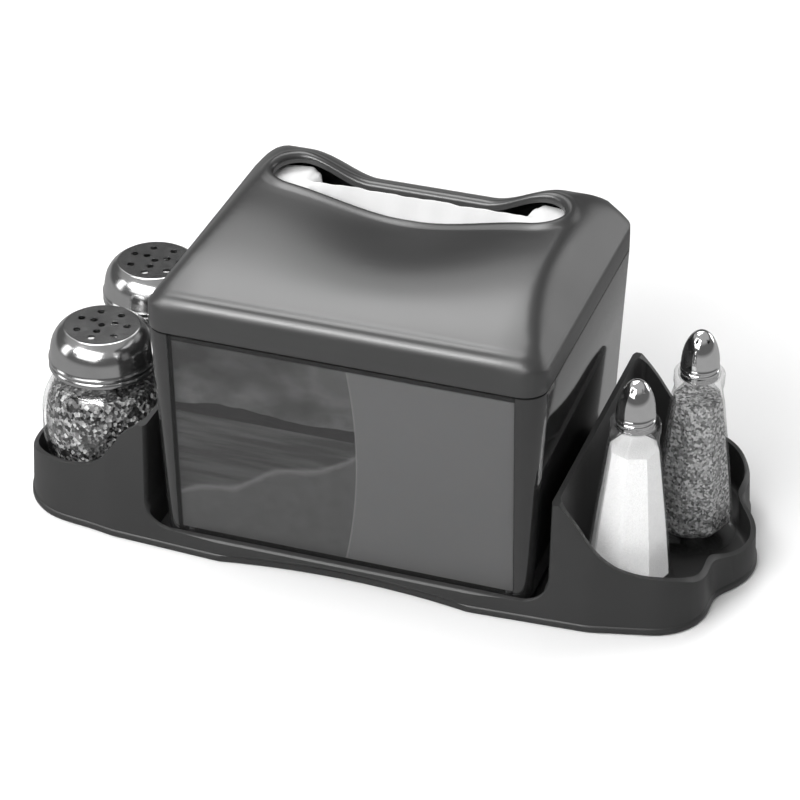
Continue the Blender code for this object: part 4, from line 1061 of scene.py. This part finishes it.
def jar_radius(height):
    """Radius of the jar's outside at a height above its foot."""
    for (ra, ha), (rb, hb) in zip(JAR_PROFILE[:-1], JAR_PROFILE[1:]):
        if height >= hb:
            return rb + (ra - rb) * (height - hb) / (ha - hb)
    return JAR_PROFILE[-1][0]


def turned(outline, steps, x, y):
    """Spins an outline of (radius, height) round the upright through x, y."""
    shape = bmesh.new()
    verts = [shape.verts.new(Vector((x + r, y, z)) * mm) for r, z in outline]
    pairs = list(zip(verts, verts[1:]))
    if outline[0][0] > 0 or outline[-1][0] > 0:
        pairs.append((verts[-1], verts[0]))
    edges = [shape.edges.new(pair) for pair in pairs]
    bmesh.ops.spin(
        shape, geom=verts + edges, cent=Vector((x, y, 0)) * mm, axis=(0, 0, 1),
        angle=2 * math.pi, steps=steps, use_merge=True,
    )
    return shape


flake_look = Look("dried_flakes", Specular_IOR_Level=0.25)
chip = flake_look.cells(560.0, "Color")
speck = flake_look.noise(900.0, 3.0)
tone = flake_look.node("ShaderNodeSeparateColor", {}, {"Color": chip})
flake_tones = ((0.15, 0.010), (0.42, 0.07), (0.66, 0.30), (0.88, 0.85))
flake_look.surface(
    flake_look.ramp(tone * 0.8 + speck * 0.2, *flake_tones),
    0.7 + 0.2 * speck, flake_look.cells(560.0) + speck * 0.4, 0.9, 0.0014,
)
FLAKES, FLAKE_THICK, FLAKES_ON_TOP = 2600, 0.22, 0.22


def flakes_shape(y):
    """A solid core with loose flakes lying against its side and on its top."""
    fill_top = JAR_TALL - 16.0
    shrink = JAR_CLEAR + JAR_FLUTE + 0.7
    levels = [(r - shrink, h) for r, h in JAR_PROFILE[:-2] if h < fill_top]
    outline = [(0, fill_top - 0.6), (jar_radius(fill_top) - shrink, fill_top - 0.6)] + levels
    outline += [(levels[-1][0], JAR_BOTTOM), (0, JAR_BOTTOM)]
    shape = cleaned(turned([(r, JAR_FOOT + h) for r, h in outline], 48, JAR_X, y))
    for _ in range(FLAKES):
        height = random.uniform(9.0, fill_top - 1.5)
        turn = random.uniform(0, 2 * math.pi)
        reach = jar_radius(height) - shrink + random.uniform(-0.2, 0.1)
        if random.random() < FLAKES_ON_TOP:
            height, reach = fill_top - random.uniform(0.5, 0.9), random.uniform(0, 20.0)
        middle = Vector((
            JAR_X + reach * math.cos(turn), y + reach * math.sin(turn), JAR_FOOT + height
        ))
        outward = Vector((math.cos(turn), math.sin(turn), 0.0))
        if height > fill_top - 1.0:
            outward = Vector((0, 0, 1))
        side = outward.orthogonal().normalized()
        side.rotate(Quaternion(outward, random.uniform(0, 2 * math.pi)))
        other = outward.cross(side)
        long, wide = random.uniform(0.6, 1.5), random.uniform(0.35, 0.9)
        corners = []
        for a, b in (
            (-long, -wide * 0.5), (0.1 * long, -wide), (long, 0.2 * wide), (-0.3 * long, wide)
        ):
            lift = random.uniform(-0.15, 0.2)
            corners.append(middle + side * a + other * b + outward * lift)
        top = [shape.verts.new((c + outward * FLAKE_THICK) * mm) for c in corners]
        bottom = [shape.verts.new((c - outward * FLAKE_THICK) * mm) for c in corners]
        shape.faces.new(top)
        shape.faces.new(list(reversed(bottom)))
        for i in range(4):
            j = (i + 1) % 4
            shape.faces.new((top[j], top[i], bottom[i], bottom[j]))
    return shape


LID_R, LID_TOP, LID_TALL, LID_DISC_R, LID_WALL = 27.2, 94.7, 20.8, 18.5, 0.8
LID_OUTSIDE = (                 # radius, depth below the lid's top
    (LID_DISC_R, 0.0), (LID_DISC_R + 0.5, 0.1), (LID_DISC_R + 1.0, 0.5), (LID_R - 6.0, 1.6),
    (LID_R - 4.6, 3.0), (LID_R - 3.3, 4.9), (LID_R - 2.2, 7.0), (LID_R - 1.5, 9.4),
    (LID_R - 1.0, 12.0), (LID_R - 0.8, 14.6), (LID_R - 0.5, 15.4), (LID_R, 16.2), (LID_R, 17.2),
    (LID_R - 0.6, 18.0), (LID_R - 0.7, 18.5), (LID_R - 0.2, 19.2), (LID_R, 19.8),
)
HOLE_R, HOLE_SOFT, HOLE_SHARP = 1.9, 0.3, math.radians(60)
HOLE_RINGS = ((1, 0.0, 0.0, 0.0), (3, 6.4, 30.0, 120.0), (7, 12.6, 12.0, 51.43))
lid_look = Look("polished_lid_steel", Metallic=1.0)
spin_marks = lid_look.noise(240.0, 3.0, (1, 1, 6.0))
smudge = lid_look.noise(70.0, 4.0)
lid_look.surface(
    lid_look.mix(smudge, 0.50, 0.64), 0.10 + 0.09 * spin_marks + 0.05 * smudge,
    spin_marks, 0.04, 0.0002,
)


def drilled(shell, places, radius, high, low, steps):
    """The shell with a round hole down through it at each place."""
    hole = [(0, high), (radius, high), (radius, low), (0, low)]
    return carved(shell, *[cleaned(turned(hole, steps, x, y)) for x, y in places])


def lid_shape(y):
    """The lid's shell, pierced disc and all."""
    top, low = LID_TOP, LID_TOP - LID_TALL
    outside = [(r, top - depth) for r, depth in LID_OUTSIDE]
    inside = [
        (JAR_NECK_R + 0.6, low), (JAR_NECK_R + 0.6, top - 12.0), (LID_R - 3.2, top - 7.4),
        (LID_R - 5.2, top - 3.8), (LID_DISC_R, top - LID_WALL - 0.4),
    ]
    outline = [(0, top), (0.6, top)] + outside + [(LID_R, low)] + inside
    outline += [(0.6, top - LID_WALL), (0, top - LID_WALL)]
    places = []
    for count, radius, start, turn in HOLE_RINGS:
        for k in range(count):
            angle = math.radians(start + turn * k)
            places.append((JAR_X + radius * math.cos(angle), y + radius * math.sin(angle)))
    shell = cleaned(turned(outline, 96, JAR_X, y))
    result = drilled(shell, places, HOLE_R, top + 1, top - 2.5, 24)
    bmesh.ops.remove_doubles(result, verts=result.verts, dist=1e-5)
    softened(result, [
        edge for edge in result.edges
        if len(edge.link_faces) == 2 and edge.calc_face_angle(0.0) > HOLE_SHARP
        and min(vert.co.z for vert in edge.verts) > (top - 0.05) * mm
    ], HOLE_SOFT)
    return result


random.seed(41)
for where, y in (("front", -JAR_Y), ("rear", JAR_Y)):
    piece(
        f"fluted_jar_{where}", jar_shape(y), jar_glass, f"{where}_jar",
        [f"jar_{where}"], 50.0,
    )
    piece(
        f"flake_fill_{where}", flakes_shape(y), flake_look, f"{where}_jar",
        [f"flakes_{where}"], 30.0, clean=False,
    )
    piece(
        f"steel_lid_{where}", lid_shape(y), lid_look, f"{where}_lid",
        [f"jar_lid_{where}"], 30.0,
    )

# ---------------------------------------------------------------- tower shakers
# Two tall eight-sided glass shakers, one of salt and one of ground pepper, with a solid glass
# foot, a glass collar, and a bullet-shaped chrome cap pierced in its crown.
TOWER_PLACES = (("salt", 132.1, -37.8), ("pepper", 149.4, 14.6))
TOWER_TALL, TOWER_BASE_R, TOWER_NECK_R, TOWER_COLLAR_R = 116.0, 22.6, 8.5, 12.3
TOWER_COLLAR, GROOVE, TOWER_GLASS, TOWER_WALL, TOWER_FOOT = 93.2, 2.6, 98.0, 1.0, 7.0
TOWER_SIDES, WAIST_R, WAIST_UP, SHOULDER_R, SHOULDER_UP = 8, 18.0, 40.0, 13.2, 79.0
TOWER_LOW_R, FILL_GAP = TOWER_BASE_R - 1.6, 0.3
CAP_R, CAP_WALL, CAP_HOLES, CAP_HOLE_R, CAP_HOLE_OUT = 9.3, 0.5, 6, 0.8, 5.2
CAP_DOME = (                    # radius, depth below the cap's top
    (0, 0.0), (1.8, 0.1), (3.6, 1.2), (5.5, 3.2), (7.4, 6.8), (8.6, 10.7), (CAP_R - 0.1, 14.6),
    (CAP_R, 17.0),
)
CAP_BEADS = (
    (CAP_R, 17.0), (CAP_R - 0.4, 17.6), (CAP_R + 0.2, 18.3), (CAP_R + 0.2, 19.3),
    (CAP_R - 0.4, 19.9), (CAP_R + 0.2, 20.6), (CAP_R + 0.2, 21.6), (CAP_R - 0.2, 22.2),
)
tower_glass = clear_glass("tower_glass", 0.96, 0.0, 90.0)


def tower_ring(radius, height, x, y, roundness):
    """A ring that goes from eight flats to round."""
    steps = TOWER_SIDES * 12
    points = []
    for k in range(steps):
        angle = 2 * math.pi * k / steps
        within = (angle % (2 * math.pi / TOWER_SIDES)) - math.pi / TOWER_SIDES
        flat = math.cos(math.pi / TOWER_SIDES) / math.cos(within)
        reach = radius * (flat + (1 - flat) * roundness)
        points.append((x + reach * math.cos(angle), y + reach * math.sin(angle)))
    return ring(points, height)


def tower_loft(levels, x, y):
    return loft([tower_ring(r, JAR_FOOT + h, x, y, soft) for r, h, soft in levels])


def tower_shape(x, y):
    outside = (                     # radius, height, how round
        (TOWER_BASE_R - 2.0, 0.0, 1.0), (TOWER_BASE_R - 0.6, 0.6, 1.0), (TOWER_BASE_R, 2.0, 1.0),
        (TOWER_BASE_R, 5.0, 0.8), (TOWER_BASE_R - 0.5, 7.2, 0.4), (TOWER_LOW_R, 10.0, 0.0),
        (WAIST_R, WAIST_UP, 0.0), (SHOULDER_R, SHOULDER_UP, 0.0), (12.3, 82.6, 0.25),
        (11.9, 85.0, 0.6), (TOWER_COLLAR_R, 88.0, 1.0), (TOWER_COLLAR_R, TOWER_COLLAR - 1.0, 1.0),
        (TOWER_COLLAR_R - 0.2, TOWER_COLLAR - 0.3, 1.0), (TOWER_COLLAR_R - 0.6, TOWER_COLLAR, 1.0),
        (CAP_R + 1.0, TOWER_COLLAR, 1.0), (CAP_R + 0.6, TOWER_COLLAR - GROOVE, 1.0),
        (TOWER_NECK_R, TOWER_COLLAR - GROOVE, 1.0), (TOWER_NECK_R, TOWER_GLASS, 1.0),
    )
    inside = (
        (TOWER_NECK_R - 2.2, TOWER_GLASS, 1.0), (TOWER_NECK_R - 2.2, 87.0, 1.0),
        (SHOULDER_R - TOWER_WALL, SHOULDER_UP, 0.0), (WAIST_R - TOWER_WALL, WAIST_UP, 0.0),
        (TOWER_LOW_R - TOWER_WALL, TOWER_FOOT + 3.5, 0.0), (17.5, TOWER_FOOT, 0.4),
    )
    return tower_loft(outside + inside, x, y)


def fill_shape(x, y):
    """The salt or the pepper, up to the shoulder and just clear of the glass."""
    thin = TOWER_WALL + FILL_GAP
    return tower_loft((
        (17.0, TOWER_FOOT + FILL_GAP, 0.4), (TOWER_LOW_R - thin, TOWER_FOOT + 3.8, 0.0),
        (WAIST_R - thin, WAIST_UP, 0.0), (SHOULDER_R - thin, SHOULDER_UP, 0.0),
    ), x, y)


def cap_shape(x, y):
    top = TRAY_FLOOR + TOWER_TALL
    glass_top = JAR_FOOT + TOWER_GLASS
    low = JAR_FOOT + TOWER_COLLAR - GROOVE + 0.3
    dome = curved([(r, top - depth) for r, depth in CAP_DOME], 2)
    beads = curved([(r, top - depth) for r, depth in CAP_BEADS] + [(CAP_R, low)], 1)
    bore = CAP_R - CAP_WALL
    inside = [
        (bore, low), (bore, glass_top + 0.3), (7.6, glass_top + 3.4), (6.6, top - 8.6),
        (4.6, top - 4.6), (0, top - 2.0),
    ]
    places = []
    for number in range(CAP_HOLES):
        angle = math.radians(360 / CAP_HOLES * number + 20)
        places.append((x + CAP_HOLE_OUT * math.cos(angle), y + CAP_HOLE_OUT * math.sin(angle)))
    shell = cleaned(turned(dome + beads[1:] + inside, 72, x, y))
    return drilled(shell, places, CAP_HOLE_R, top + 1, top - 9, 20)


# The salt's faint white emission is painted light: a glow that stands in for the light reaching it
# through the glass.
salt_look = Look("white_salt_painted_glow", Specular_IOR_Level=0.3, Emission_Color=1.0, Emission_Strength=0.28)
crystal = salt_look.cells(1500.0)
salt_look.surface(salt_look.mix(crystal, 0.95, 0.74), 0.6 + 0.3 * crystal, crystal, 0.5, 0.0006)
pepper_look = Look("ground_pepper", Specular_IOR_Level=0.2)
grain = pepper_look.cells(850.0, "Color")
grit = pepper_look.node("ShaderNodeSeparateColor", {}, {"Color": grain})
dusting = pepper_look.noise(1500.0, 2.0)
pepper_look.surface(
    pepper_look.ramp(grit * 0.7 + dusting * 0.3, (0.15, 0.10), (0.5, 0.36), (0.8, 0.75)),
    0.75 + 0.2 * dusting, grit, 0.5, 0.0006,
)
chrome_look = Look("cap_chrome", Metallic=1.0)
haze = chrome_look.noise(260.0, 3.0)
chrome_look.surface(chrome_look.mix(haze, 0.76, 0.84), 0.05 + 0.06 * haze, haze, 0.02, 0.0002)

for (what, x, y), look in zip(TOWER_PLACES, (salt_look, pepper_look)):
    piece(
        f"{what}_tower_glass", tower_shape(x, y), tower_glass, f"{what}_shaker",
        [f"{what}_bottle"], 24.0,
    )
    piece(
        f"{what}_contents", fill_shape(x, y), look, f"{what}_shaker",
        [f"{what}_fill"], 24.0,
    )
    piece(
        f"{what}_chrome_cap", cap_shape(x, y), chrome_look, f"{what}_top",
        [f"{what}_cap"], 34.0,
    )
